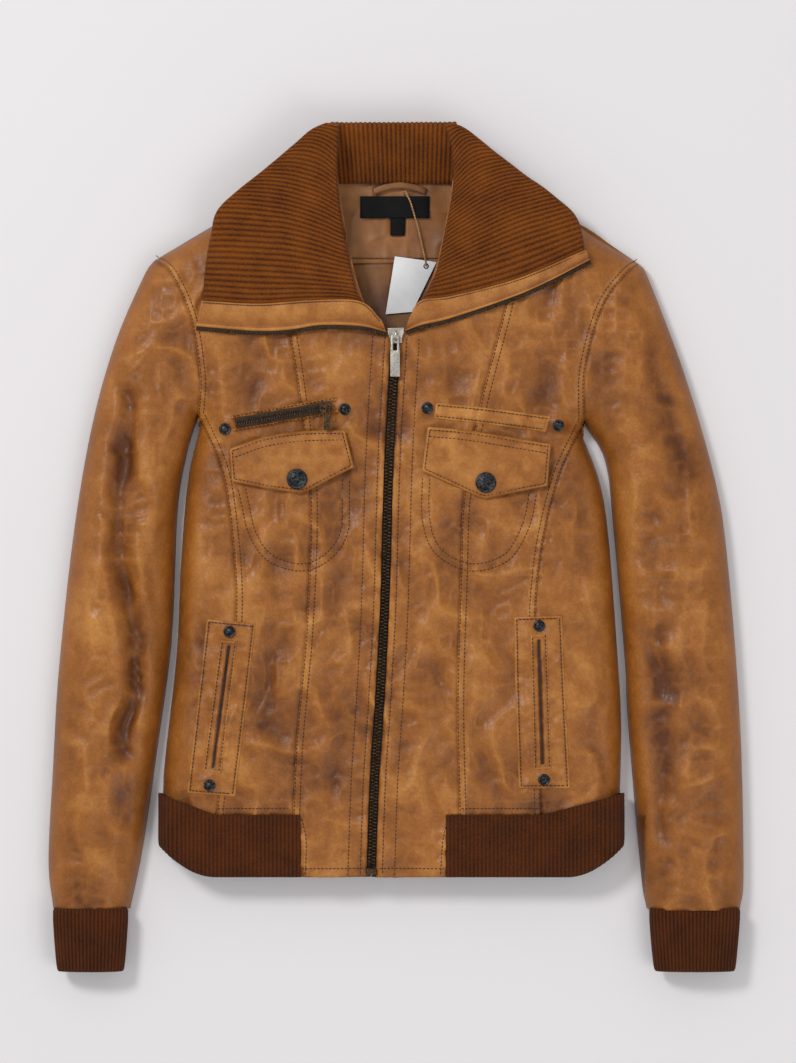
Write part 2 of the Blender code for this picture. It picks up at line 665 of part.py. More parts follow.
def build_chest_pockets():
    bags = {
        "r": [(-136, 100), (-132, 35), (-116, -5), (-81, -19), (-49, -1), (-40, 35), (-40, 104)],
        "l": [(27, 105), (22, 36), (34, -4), (67, -19), (100, -7), (117, 27), (124, 92)],
    }
    for side, outline in FLAPS.items():
        flap = [on_pattern(*p) for p in outline]
        origin = tuple((flap[0] + flap[1]) / 2)
        plate(f"chest_flap_{side}", [flap], FLAP_FLOOR, FLAP, "leather", origin)
        snap = on_pattern(*SNAPS[side])
        dome(f"snap_stud_{side}", snap, FRONT, STUD_RADIUS, STUD_HEIGHT, "gunmetal")
        dome(f"snap_cap_{side}", snap, FLAP_FLOOR + FLAP + GAP, SNAP_RADIUS, SNAP_HEIGHT,
             "gunmetal")
        bag = [on_pattern(*p) for p in bags[side]]
        depth = LEATHER + GAP + LINING + 0.003
        plate(f"chest_pocket_bag_{side}", [bag], LOFT - depth, LINING, "lining")
    welt = [on_pattern(*p) for p in ((34, 126), (133, 114), (129, 100), (32, 112))]
    plate("chest_welt", [welt], FRONT, PATCH, "leather")


def build_hand_pockets():
    frames = {
        "r": [(-163, -60), (-120, -64), (-138, -213), (-180, -210)],
        "l": [(101, -58), (143, -57), (150, -206), (105, -206)],
    }
    welts = {
        "r": [(-151, -78), (-136, -79), (-150, -193), (-166, -191)],
        "l": [(115, -73), (130, -73), (134, -189), (118, -190)],
    }
    bags = {
        "r": [(-164, -64), (-100, -64), (-96, -213), (-172, -213)],
        "l": [(66, -58), (146, -58), (152, -206), (66, -206)],
    }
    for side in "rl":
        frame, welt, bag = ([on_pattern(*p) for p in shape[side]] for shape in (frames, welts, bags))
        plate(f"hand_pocket_frame_{side}", [frame], FRONT, PATCH, "leather")
        plate(f"hand_pocket_welt_{side}", [welt], FRONT + PATCH + GAP, WELT, "leather")
        depth = LEATHER + GAP + LINING + 0.003
        plate(f"hand_pocket_bag_{side}", [bag], LOFT - depth, LINING, "lining")


WELT_INNER_END = (33.5, 121)
WELT_OUTER_END = (133, 106)


def build_rivets():
    on_leather = {
        "chest_rivet_r_outer": on_pattern(-147, 103), "chest_rivet_r_inner": on_pattern(-44, 120),
        "chest_rivet_l_inner": on_pattern(*WELT_INNER_END) + (-RIVET_OFF_WELT, 0),
        "chest_rivet_l_outer": on_pattern(*WELT_OUTER_END) + (RIVET_OFF_WELT, 0),
    }
    on_frame = {"hand_rivet_r_top": (-143, -71), "hand_rivet_r_low": (-160, -203),
                "hand_rivet_l_top": (123, -66), "hand_rivet_l_low": (127, -198)}
    for name, place in on_leather.items():
        dome(name, place, FRONT, RIVET_RADIUS, RIVET_HEIGHT, "gunmetal")
    for name, place in on_frame.items():
        dome(name, on_pattern(*place), FRONT + PATCH + GAP, RIVET_RADIUS, RIVET_HEIGHT, "gunmetal")


def build_neck_trims():
    """The woven label, the hang loop over it, and the card that hangs from the loop's string."""
    floor = BACK + LINING + GAP
    label = [on_pattern(*p) for p in ((-31, 305), (29, 305), (29, 286), (-31, 286))]
    plate("neck_label", [label], floor, TAG, "label")
    low = floor + LOOP_RADIUS + GAP
    loop = [(-16, 311, 0), (-12, 312, 0.0012), (-5, 312.5, 0.0026), (3, 313, 0.0032),
            (11, 312.5, 0.0026), (18, 312, 0.0012), (22, 311, 0)]
    tube("hang_loop", [(*on_pattern(x, y), low + z) for x, y, z in loop], LOOP_RADIUS, "lining")
    tag = [on_pattern(*p) for p in ((-1, 253), (35, 248), (14, 205), (-9, 203))]
    plate("hang_tag", [tag], floor, TAG, "card", tuple(on_pattern(26, 245)))
    route = [(8, 309.5, 0.0), (9.5, 306, 0.0005), (12, 301, 0.0006), (14, 295, 0.0006),
             (16, 288, 0.0005), (18, 281, 0.0), (20, 273, -0.0004), (22, 264, -0.0004),
             (24, 255, -0.0004), (25.5, 249, -0.0003), (26, 244.5, -0.0002)]
    high = floor + TAG + GAP + STRING_RADIUS + 0.0004
    tube("tag_string", [(*on_pattern(x, y), high + z) for x, y, z in route], STRING_RADIUS,
         "string")


clear_scene()
build_front()
build_back()
build_hem_rib()
build_sleeve("r", SLEEVE_OUT_R, SLEEVE_IN_R, ARMHOLE_R)
build_sleeve("l", SLEEVE_OUT_L, SLEEVE_IN_L, ARMHOLE_L)
build_collar()
build_front_zip()
build_chest_zip()
build_chest_pockets()
build_hand_pockets()
build_rivets()
build_neck_trims()
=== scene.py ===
"""The looks of a leather blouson that lies on its back: waxed cowhide, rib knit, satin and zips.

The sewing pattern is drawn in millimetres, +Y to the collar and +X to the wearer's left. relief() gives
the height of the leather over the floor at any point of it, and every panel, stitch and trim lies on that.
"""
import math

import bmesh
import bpy
import numpy as np
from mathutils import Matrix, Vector


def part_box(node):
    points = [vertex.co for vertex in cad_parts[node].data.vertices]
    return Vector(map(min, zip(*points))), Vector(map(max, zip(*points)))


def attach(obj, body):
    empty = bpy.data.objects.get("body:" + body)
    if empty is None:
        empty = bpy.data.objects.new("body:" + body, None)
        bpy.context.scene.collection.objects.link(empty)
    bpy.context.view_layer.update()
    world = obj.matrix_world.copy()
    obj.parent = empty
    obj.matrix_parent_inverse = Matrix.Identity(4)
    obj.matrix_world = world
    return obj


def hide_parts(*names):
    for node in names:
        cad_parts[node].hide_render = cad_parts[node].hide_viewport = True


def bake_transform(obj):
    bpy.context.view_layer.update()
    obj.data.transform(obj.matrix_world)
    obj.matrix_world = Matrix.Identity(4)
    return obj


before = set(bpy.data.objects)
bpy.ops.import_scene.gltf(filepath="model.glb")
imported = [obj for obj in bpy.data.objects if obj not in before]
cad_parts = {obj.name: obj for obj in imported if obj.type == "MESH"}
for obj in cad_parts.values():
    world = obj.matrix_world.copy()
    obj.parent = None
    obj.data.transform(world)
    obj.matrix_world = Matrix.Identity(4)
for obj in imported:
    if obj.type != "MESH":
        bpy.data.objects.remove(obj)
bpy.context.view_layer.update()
MM = 0.001

# ---------------------------------------------------------------- camera, floor and light

VIEW_HEIGHT = 0.9142  # what the camera sees, top to bottom
VIEW_CENTRE = (0.0017, 0.015)
LENS = 150
SENSOR = 36


def look():
    camera = bpy.data.cameras.new("camera")
    camera.lens, camera.sensor_width = LENS, SENSOR
    eye = bpy.data.objects.new("camera", camera)
    eye.location = (*VIEW_CENTRE, LENS * VIEW_HEIGHT / SENSOR + 0.03)
    bpy.context.scene.collection.objects.link(eye)
    bpy.context.scene.camera = eye
    bpy.context.scene.view_settings.view_transform = "Standard"


def soft_box(name, place, aim, size, watts):
    light = bpy.data.lights.new(name, "AREA")
    light.shape, light.size, light.energy = "DISK", size, watts
    lamp = bpy.data.objects.new(name, light)
    lamp.location = place
    lamp.rotation_euler = (Vector(aim) - Vector(place)).to_track_quat("-Z", "Y").to_euler()
    bpy.context.scene.collection.objects.link(lamp)


def studio():
    soft_box("key_softbox", (-1.7, 1.6, 3.0), (0, 0, 0), 0.9, 58)
    soft_box("fill_softbox", (1.4, -1.3, 2.4), (0, 0, 0), 1.6, 15)
    world = bpy.data.worlds.new("studio")
    bpy.context.scene.world = world
    world.use_nodes = True
    sky = world.node_tree.nodes["Background"]
    sky.inputs["Color"].default_value = (0.93, 0.93, 0.94, 1)
    sky.inputs["Strength"].default_value = 0.62


# ---------------------------------------------------------------- materials


def tint(code):
    """An sRGB hex colour as linear RGBA."""
    parts = [int(code[k:k + 2], 16) / 255 for k in (1, 3, 5)]
    return (*(c / 12.92 if c <= 0.04045 else ((c + 0.055) / 1.055) ** 2.4 for c in parts), 1)


def add(tree, kind, inputs=(), **settings):
    """A node with its settings, its sockets set to values or linked from other nodes' outputs."""
    node = tree.nodes.new(kind)
    for key, value in settings.items():
        setattr(node, key, value)
    for key, value in dict(inputs).items():
        if isinstance(value, bpy.types.NodeSocket):
            tree.links.new(value, node.inputs[key])
        else:
            node.inputs[key].default_value = value
    return node


def new_material(name, roughness, metallic=0.0, **sockets):
    made = bpy.data.materials.new(name)
    made.use_nodes = True
    tree = made.node_tree
    shader = tree.nodes["Principled BSDF"]
    shader.inputs["Roughness"].default_value = roughness
    shader.inputs["Metallic"].default_value = metallic
    for key, value in sockets.items():
        shader.inputs[key.replace("_", " ")].default_value = value
    return made, tree, shader


def ramp(tree, factor, stops):
    node = add(tree, "ShaderNodeValToRGB", {"Fac": factor})
    elements = node.color_ramp.elements
    while len(elements) < len(stops):
        elements.new(0.5)
    for element, (place, code) in zip(elements, stops):
        element.position, element.color = place, tint(code)
    return node.outputs["Color"]


def waxed_leather(name, dark, mid, light, gloss=0.42):
    """Waxed cowhide: aniline colour that pools in the folds and rubs off pale on the ridges, with painted
    shade and highlight over it.

    Its tone is mottled in patches 60 mm and 15 mm wide, its grain is cells 1.6 mm across, and fine
    creases 5 mm apart break the shine and are painted a little darker, partly pooled colour and partly
    painted shade. The attribute ridge is high where the hide stands proud and lightens it, partly
    rubbed wax and partly painted highlight; where it is low, in folds, seams, slits and rolled edges,
    it darkens the colour, partly pooled colour and partly painted shade.
    """
    made, tree, shader = new_material(name, gloss, IOR=1.48, Specular_IOR_Level=0.36)
    place = add(tree, "ShaderNodeTexCoord").outputs["Object"]
    patch = add(tree, "ShaderNodeTexNoise", {"Vector": place, "Scale": 16.0, "Detail": 4.0,
                                             "Roughness": 0.55})
    blotch = add(tree, "ShaderNodeTexNoise", {"Vector": place, "Scale": 70.0, "Detail": 5.0,
                                              "Roughness": 0.6, "Distortion": 0.6})
    ridge = add(tree, "ShaderNodeAttribute", attribute_name="ridge").outputs["Fac"]
    mixed = add(tree, "ShaderNodeMath", {0: patch.outputs["Fac"], 1: 0.55}, operation="MULTIPLY")
    mixed = add(tree, "ShaderNodeMath", {0: blotch.outputs["Fac"], 1: 0.34, 2: mixed.outputs[0]},
                operation="MULTIPLY_ADD")
    # ridge lightens the proud hide and darkens folds, seams and rolled edges: partly rubbed wax and pooled
    # colour, partly painted highlight and painted shade.
    mixed = add(tree, "ShaderNodeMath", {0: ridge, 1: 1.0, 2: mixed.outputs[0]},
                operation="MULTIPLY_ADD")
    tone = add(tree, "ShaderNodeMath", {0: mixed.outputs[0], 1: 0.45}, operation="SUBTRACT")
    colour = ramp(tree, tone.outputs[0], [(0.08, dark), (0.46, mid), (0.85, light)])
    crease = add(tree, "ShaderNodeTexVoronoi", {"Vector": place, "Scale": 210.0,
                                                "Randomness": 1.0}, feature="DISTANCE_TO_EDGE")
    grain = add(tree, "ShaderNodeTexVoronoi", {"Vector": place, "Scale": 620.0})
    pore = add(tree, "ShaderNodeTexNoise", {"Vector": place, "Scale": 1500.0, "Detail": 2.0})
    line = add(tree, "ShaderNodeMapRange", {"Value": crease.outputs["Distance"], "From Max": 0.10})
    fade = add(tree, "ShaderNodeMath", {0: line.outputs[0], 1: blotch.outputs["Fac"]},
               operation="MULTIPLY")
    # The crease lines are painted 16% darker: partly pooled colour, partly painted shade.
    darker = add(tree, "ShaderNodeMix", {"Factor": 0.16}, data_type="RGBA", blend_type="MULTIPLY")
    tree.links.new(colour, darker.inputs[6])
    tree.links.new(line.outputs[0], darker.inputs[7])
    tree.links.new(darker.outputs[2], shader.inputs["Base Color"])
    height = add(tree, "ShaderNodeMath", {0: grain.outputs["Distance"], 1: 0.35,
                                          2: fade.outputs[0]}, operation="MULTIPLY_ADD")
    height = add(tree, "ShaderNodeMath", {0: pore.outputs["Fac"], 1: 0.3, 2: height.outputs[0]},
                 operation="MULTIPLY_ADD")
    bump = add(tree, "ShaderNodeBump", {"Height": height.outputs[0], "Strength": 0.35,
                                        "Distance": 0.0004})
    tree.links.new(bump.outputs["Normal"], shader.inputs["Normal"])
    shine = add(tree, "ShaderNodeMapRange", {"Value": blotch.outputs["Fac"], "From Min": 0.3,
                                             "From Max": 0.7, "To Min": gloss - 0.09,
                                             "To Max": gloss + 0.12})
    tree.links.new(shine.outputs[0], shader.inputs["Roughness"])
    return made


def rib_knit(name, dark, light):
    """Acrylic rib knit: matte, with yarn stitches 1.1 mm long that read as fine flecks on the ribs.

    The attribute ridge is 1 on a rib and 0 in the valley between two; it paints the ribs lighter and
    the valleys darker, painted highlight and painted shade.
    """
    made, tree, shader = new_material(name, 0.9, Specular_IOR_Level=0.18, Sheen_Weight=0.05)
    place = add(tree, "ShaderNodeTexCoord").outputs["Object"]
    ridge = add(tree, "ShaderNodeAttribute", attribute_name="ridge").outputs["Fac"]
    yarn = add(tree, "ShaderNodeTexNoise", {"Vector": place, "Scale": 900.0, "Detail": 2.0})
    wear = add(tree, "ShaderNodeTexNoise", {"Vector": place, "Scale": 45.0, "Detail": 3.0})
    tone = add(tree, "ShaderNodeMath", {0: yarn.outputs["Fac"], 1: 0.9, 2: -0.45},
               operation="MULTIPLY_ADD")
    tone = add(tree, "ShaderNodeMath", {0: wear.outputs["Fac"], 1: 0.55, 2: tone.outputs[0]},
               operation="MULTIPLY_ADD")
    # Ribs painted lighter and the valleys between them darker: painted highlight and painted shade.
    tone = add(tree, "ShaderNodeMath", {0: ridge, 1: 0.42, 2: tone.outputs[0]},
               operation="MULTIPLY_ADD")
    tree.links.new(ramp(tree, tone.outputs[0], [(0.12, dark), (0.85, light)]),
                   shader.inputs["Base Color"])
    bump = add(tree, "ShaderNodeBump", {"Height": yarn.outputs["Fac"], "Strength": 0.5,
                                        "Distance": 0.0003})
    tree.links.new(bump.outputs["Normal"], shader.inputs["Normal"])
    return made


def cloth(name, dark, light, threads, roughness=0.8, weave=0.3, **sockets):
    """A woven cloth: two sets of threads, so many to the metre, with a soft change of tone."""
    made, tree, shader = new_material(name, roughness, **sockets)
    place = add(tree, "ShaderNodeTexCoord").outputs["Object"]
    warp = add(tree, "ShaderNodeTexWave", {"Vector": place, "Scale": threads / 20,
                                           "Distortion": 0.6}, bands_direction="X")
    weft = add(tree, "ShaderNodeTexWave", {"Vector": place, "Scale": threads / 20,
                                           "Distortion": 0.6}, bands_direction="Y")
    cross = add(tree, "ShaderNodeMath", {0: warp.outputs["Fac"], 1: weft.outputs["Fac"]},
                operation="MULTIPLY")
    soft = add(tree, "ShaderNodeTexNoise", {"Vector": place, "Scale": 40.0, "Detail": 4.0})
    tone = add(tree, "ShaderNodeMath", {0: cross.outputs[0], 1: weave, 2: soft.outputs["Fac"]},
               operation="MULTIPLY_ADD")
    tree.links.new(ramp(tree, tone.outputs[0], [(0.35, dark), (0.8, light)]),
                   shader.inputs["Base Color"])
    bump = add(tree, "ShaderNodeBump", {"Height": cross.outputs[0], "Strength": 0.25,
                                        "Distance": 0.0002})
    tree.links.new(bump.outputs["Normal"], shader.inputs["Normal"])
    return made


def aged_metal(name, dark, light, roughness, grain, dents):
    """A plated metal whose plating has dulled in patches; grain is in cells to the metre."""
    made, tree, shader = new_material(name, roughness, 1.0)
    place = add(tree, "ShaderNodeTexCoord").outputs["Object"]
    patina = add(tree, "ShaderNodeTexNoise", {"Vector": place, "Scale": grain, "Detail": 4.0})
    tree.links.new(ramp(tree, patina.outputs["Fac"], [(0.35, dark), (0.68, light)]),
                   shader.inputs["Base Color"])
    rough = add(tree, "ShaderNodeMapRange", {"Value": patina.outputs["Fac"], "To Min": roughness,
                                             "To Max": roughness + 0.2})
    tree.links.new(rough.outputs[0], shader.inputs["Roughness"])
    beaten = add(tree, "ShaderNodeTexVoronoi", {"Vector": place, "Scale": grain * 0.8})
    bump = add(tree, "ShaderNodeBump", {"Height": beaten.outputs["Distance"], "Strength": dents,
                                        "Distance": 0.0005})
    tree.links.new(bump.outputs["Normal"], shader.inputs["Normal"])
    return made


LEATHER = waxed_leather("cognac_waxed_cowhide", "#5A2D08", "#9C5E22", "#C98A42")
RIB_COLLAR = rib_knit("collar_rib_knit", "#341402", "#85470F")
RIB_HEM = rib_knit("hem_rib_knit", "#200C02", "#592A08")
THREAD = cloth("bonded_nylon_thread", "#26150A", "#4A2C16", 3000, 0.6)
SATIN = cloth("viscose_satin_lining", "#552D0C", "#94602A", 4000, 0.45, 0.1)
FACING = cloth("brushed_satin_facing", "#744318", "#A86E36", 4000, 0.5, 0.1)
TAPE = cloth("woven_zip_tape", "#1C1008", "#3B2514", 1500)
BRASS = aged_metal("antique_brass", "#2A1E14", "#6E5942", 0.36, 900.0, 0.1)
GUNMETAL = aged_metal("beaten_gunmetal", "#1D1D1E", "#4F5052", 0.3, 500.0, 0.12)
NICKEL = aged_metal("bright_nickel", "#A8A297", "#CFC9BE", 0.28, 900.0, 0.03)
CARD = cloth("matt_white_card", "#E2E2E3", "#F4F4F5", 2500, 0.65, 0.02)
LABEL = cloth("black_woven_label", "#060505", "#141313", 2500, 0.7, 0.1, Specular_IOR_Level=0.15)
STRING = cloth("waxed_hemp_string", "#8C6137", "#C9A06A", 3000, 0.7)
FLOOR = new_material("pale_paper_backdrop", 0.9)[0]
FLOOR.node_tree.nodes["Principled BSDF"].inputs["Base Color"].default_value = tint("#E6E3E4")

# ---------------------------------------------------------------- the sewing pattern


class Line:
    """A smooth line over the pattern, from points in millimetres, read by its share of the length."""

    def __init__(self, points, smooth=True):
        p = np.array(points, float)
        if smooth and len(p) > 2:
            ends = np.vstack([2 * p[0] - p[1], p, 2 * p[-1] - p[-2]])
            t = np.arange(1, 17)[:, None] / 16
            runs = [0.5 * (2 * b + (c - a) * t + (2 * a - 5 * b + 4 * c - d) * t**2
                           + (3 * b - a - 3 * c + d) * t**3)
                    for a, b, c, d in zip(ends, ends[1:], ends[2:], ends[3:])]
            p = np.vstack([p[:1], *runs])
        self.p = p
        self.s = np.concatenate([[0], np.cumsum(np.linalg.norm(np.diff(p, axis=0), axis=1))])
        self.length = self.s[-1]

    def at(self, share):
        s = np.asarray(share) * self.length
        return np.stack([np.interp(s, self.s, self.p[:, k]) for k in (0, 1)], -1)

    def every(self, step):
        return self.at(np.linspace(0, 1, max(2, round(self.length / step) + 1)))

    def then(self, other):
        return Line(np.vstack([self.p, other.p[1:]]), smooth=False)

    def back(self):
        return Line(self.p[::-1], smooth=False)

    def beside(self, gap):
        """The line that runs gap to the left of this one."""
        p = self.every(3.0)
        run = np.gradient(p, axis=0)
        run /= np.linalg.norm(run, axis=1)[:, None]
        return Line(p + gap * np.column_stack([-run[:, 1], run[:, 0]]), smooth=False)

    def near(self, q, reach=90.0):
        """Each point's signed distance, positive to the left, and its place along the line.

        Points further off than reach, which the line doesn't affect, get a very large distance.
        """
        a, run = self.p[:-1], np.diff(self.p, axis=0)
        size = np.maximum((run**2).sum(1), 1e-9)
        away, along = np.full(len(q), 1e9), np.zeros(len(q))
        box = np.abs(q - (self.p.min(0) + self.p.max(0)) / 2) - np.ptp(self.p, axis=0) / 2
        close = np.flatnonzero(box.max(1) < reach)
        for k in np.array_split(close, len(close) // 4000 + 1):
            if not len(k):
                continue
            off = q[k, None] - a
            t = np.clip((off * run).sum(2) / size, 0, 1)
            gap = off - t[..., None] * run
            d2 = (gap**2).sum(2)
            j = d2.argmin(1)
            row = np.arange(len(k))
            cross = run[j, 0] * gap[row, j, 1] - run[j, 1] * gap[row, j, 0]
            away[k] = np.sqrt(d2[row, j]) * np.where(cross < 0, -1, 1)
            along[k] = self.s[j] + t[row, j] * np.sqrt(size[j])
        return away, along


SHOULDER_TIP_R, SHOULDER_TIP_L = (-210, 249), (211, 246)
SHOULDER_R = Line([SHOULDER_TIP_R, (-167, 274), (-115, 305), (-52, 341)])
SHOULDER_L = Line([SHOULDER_TIP_L, (167, 274), (116, 309), (51, 341)])
SIDE_R = Line([(-202, -212), (-200, -181), (-190, -90), (-186, -9), (-180, 60), (-169, 108)])
SIDE_L = Line([(194, -212), (195, -151), (192, -95), (184, 10), (176, 59), (160, 101)])
SLEEVE_OUT_R = Line([(-297, -311), (-301, -269), (-297, -187), (-292, -104), (-279, 15),
                     (-263, 108), (-243, 179), (-219, 235), SHOULDER_TIP_R])
SLEEVE_OUT_L = Line([(298, -311), (301, -280), (298, -151), (287, -9), (276, 61), (250, 151),
                     (219, 233), SHOULDER_TIP_L])
SLEEVE_IN_R = Line([(-230, -311), (-219, -257), (-207, -175), (-197, -104), (-193, -57),
                    (-189, 34), (-181, 83), (-171.5, 114)])
SLEEVE_IN_L = Line([(217, -311), (212, -280), (201, -151), (198, -95), (188, 21), (181, 76),
                    (163, 108)])
ARMHOLE_R = Line([(-171, 115), (-169, 148), (-177, 199), (-194, 237), SHOULDER_TIP_R])
ARMHOLE_L = Line([(162.5, 109), (163, 154), (177, 206), (197, 235), SHOULDER_TIP_L])
SIDE_FRONT_R = Line([(-155, -230), (-144, -130), (-138, -52), (-141, 8), (-150, 68), (-171, 115)])
SIDE_FRONT_L = Line([(125, -230), (122, -130), (120, -61), (126, 3), (141, 64), (162.5, 109)])
PRINCESS_R = Line([(-89, -230), (-86, -164), (-77, -61), (-74, 46), (-83, 128), (-94, 197),
                   (-115, 305)])
PRINCESS_L = Line([(54, -230), (52, -130), (55, -27), (58, 46), (72, 124), (95, 214), (116, 309)])
HEM_TURN_R = Line([(-84, -282), (-83, -252), (-86, -236), (-89, -230)])
HEM_TURN_L = Line([(44, -282), (46, -252), (50, -236), (54, -230)])
NECK_R = Line([(-7, 184), (-26, 209), (-40, 257), (-50, 319), (-52, 341)])
NECK_L = Line([(7, 184), (23, 214), (38, 257), (49, 319), (51, 341)])
ZIP = Line([(0, 184), (-6, 76), (-9.5, -44), (-14, -130), (-18.5, -199), (-21.4, -282)])
ZIP_SLOT = 4.0  # half the gap between the leather edges
HEM_LEVEL = -230

# ---------------------------------------------------------------- the lie of the leather

SKIN = 1.1  # the leather itself
SKIRT = 3.0  # where the front meets the back
LOFT = 36.0
TORSO_ROLL, SLEEVE_ROLL = 30.0, 36.0
SLIDER_FLOOR = 36.3  # the leather stays under the front zip's slider
OUTLINE = {
    "torso": [(SHOULDER_R, -1), (SHOULDER_L, 1), (SIDE_R, -1), (SIDE_L, 1)],
    "sleeve_r": [(SLEEVE_OUT_R, -1), (SLEEVE_IN_R, 1)],
    "sleeve_l": [(SLEEVE_OUT_L, 1), (SLEEVE_IN_L, -1)],
}


def inside(q):
    """How far each point lies inside the outline of the part of the jacket that holds it."""
    best = np.full(len(q), 1e9)
    for edges in OUTLINE.values():
        for line, _ in edges:
            best = np.minimum(best, np.abs(line.near(q)[0]))
    return best


def lattice(seed):
    return np.random.default_rng(seed).uniform(-1, 1, (64, 64))


def noise(x, y, size, seed):
    """Smooth noise from -1 to 1 with bumps of the given size, in millimetres."""
    table = lattice(seed)
    x, y = np.asarray(x) / size + 500, np.asarray(y) / size + 500
    i, j = np.floor(x).astype(int), np.floor(y).astype(int)
    u, v = x - i, y - j
    u, v = u * u * u * (u * (6 * u - 15) + 10), v * v * v * (v * (6 * v - 15) + 10)
    a, b = table[i % 64, j % 64], table[(i + 1) % 64, j % 64]
    c, d = table[i % 64, (j + 1) % 64], table[(i + 1) % 64, (j + 1) % 64]
    return (a * (1 - u) + b * u) * (1 - v) + (c * (1 - u) + d * u) * v


def creased(x, y, size, seed):
    """Noise folded into soft ridges with sharper valleys, from -1 to 1."""
    return 1 - 2 * np.abs(noise(x, y, size, seed)) ** 0.8 * 1.6


def smooth_step(x, low, high):
    t = np.clip((x - low) / (high - low), 0, 1)
    return t * t * (3 - 2 * t)


# Folds, given one by one: the line of each, how wide it is, and how far it stands up or sinks.
FOLDS = [
    # wearer's right sleeve
    ([(-236, 150), (-231, 60), (-229, -30), (-231, -120), (-236, -200)], 11, -9.0),
    ([(-262, 60), (-266, -40), (-268, -140), (-267, -250)], 12, 2.5),
    ([(-210, 90), (-209, 20), (-213, -60)], 7, 2.2),
    ([(-222, 190), (-226, 130), (-222, 90)], 9, 1.8),
    ([(-200, 170), (-212, 120)], 7, -2.0),
    ([(-214, 20), (-205, -20), (-199, -60)], 6, -2.5),
    ([(-245, -40), (-258, -58)], 5, -1.3),
    ([(-248, -210), (-254, -255), (-250, -300)], 6, -1.5),
    ([(-228, -235), (-238, -270), (-238, -305)], 5, -1.6),
    # wearer's left sleeve
    ([(222, 190), (232, 120), (240, 50)], 10, -3.5),
    ([(208, 60), (222, 0), (226, -60)], 8, -4.5),
    ([(225, -60), (222, -130), (226, -200), (236, -262)], 10, -5.0),
    ([(258, 60), (262, -30), (266, -120), (268, -220)], 12, 2.0),
    ([(198, 30), (214, 18), (236, 20)], 5, -1.8),
    ([(203, -40), (220, -30), (238, -36)], 5, -1.6),
    ([(247, -200), (252, -250), (252, -300)], 6, -1.6),
    ([(272, -230), (276, -300)], 5, -1.4),
    # torso
    ([(-176, 60), (-168, -10), (-170, -80)], 9, 2.0),
    ([(-110, 10), (-106, -50), (-112, -110), (-100, -170)], 10, -3.0),
    ([(-98, -60), (-118, -120), (-128, -190)], 8, -2.2),
    ([(-46, 60), (-38, -20), (-36, -100)], 10, -2.0),
    ([(-60, -80), (-52, -150), (-60, -220)], 9, -2.2),
    ([(8, 40), (14, -40), (8, -110)], 9, -2.0),
    ([(24, -60), (34, -120), (26, -190)], 9, -2.6),
    ([(86, -30), (92, -90), (84, -160)], 10, -2.4),
    ([(150, 60), (158, 0), (164, -60)], 8, -2.0),
    ([(172, -90), (168, -150), (176, -200)], 8, -2.2),
    ([(-150, 180), (-158, 140), (-150, 118)], 6, -2.0),
    ([(120, 170), (130, 140), (150, 120)], 7, -2.2),
    ([(30, 180), (44, 150), (40, 128)], 7, -2.0),
    ([(-96, 30), (-86, 4), (-92, -14)], 6, -1.6),
    ([(84, 40), (92, 16), (84, -6)], 6, -1.6),
]
FOLDS = [(Line(points), width, height) for points, width, height in FOLDS]

# Lapped seams: the line, which side the second row of stitches is on, and how far.
LAPS = [
    (PRINCESS_R, -1, 7.0), (PRINCESS_L, -1, 7.0), (SIDE_FRONT_R, -1, 6.8), (SIDE_FRONT_L, 1, 6.4),
    (ARMHOLE_R, -1, 6.0), (ARMHOLE_L, 1, 6.0), (HEM_TURN_R, -1, 6.8), (HEM_TURN_L, 1, 6.8),
]
PLACKETS = [ZIP.beside(9.5), ZIP.beside(-9.5), ZIP.beside(20), ZIP.beside(-20)]
POCKET_BAGS = {
    "r": Line([(-136, 53), (-132, 35), (-127, 14), (-116, -5), (-101, -15), (-81, -19), (-64, -14),
               (-49, -1), (-41, 16), (-40, 35), (-40, 62)]),
    "l": Line([(23, 63), (22, 36), (25, 13), (34, -4), (50, -15), (67, -19), (84, -16), (100, -7),
               (110, 9), (117, 27), (121, 50)]),
}


def ripple(along, seed, pitch):
    """Puckers along a row of stitches."""
    return noise(along, np.full_like(along, seed * 7.3), pitch, seed)


# Metal and patches press the leather flat to the height of the frame: place, radius.
PRESSED = [((-85, 60), 11), ((77, 57), 11), ((-147, 103), 7), ((-44, 120), 7), ((27, 121), 7),
           ((139.5, 106), 7), ((-143, -71), 9), ((-160, -203), 9), ((123, -66), 9),
           ((127, -198), 9)]


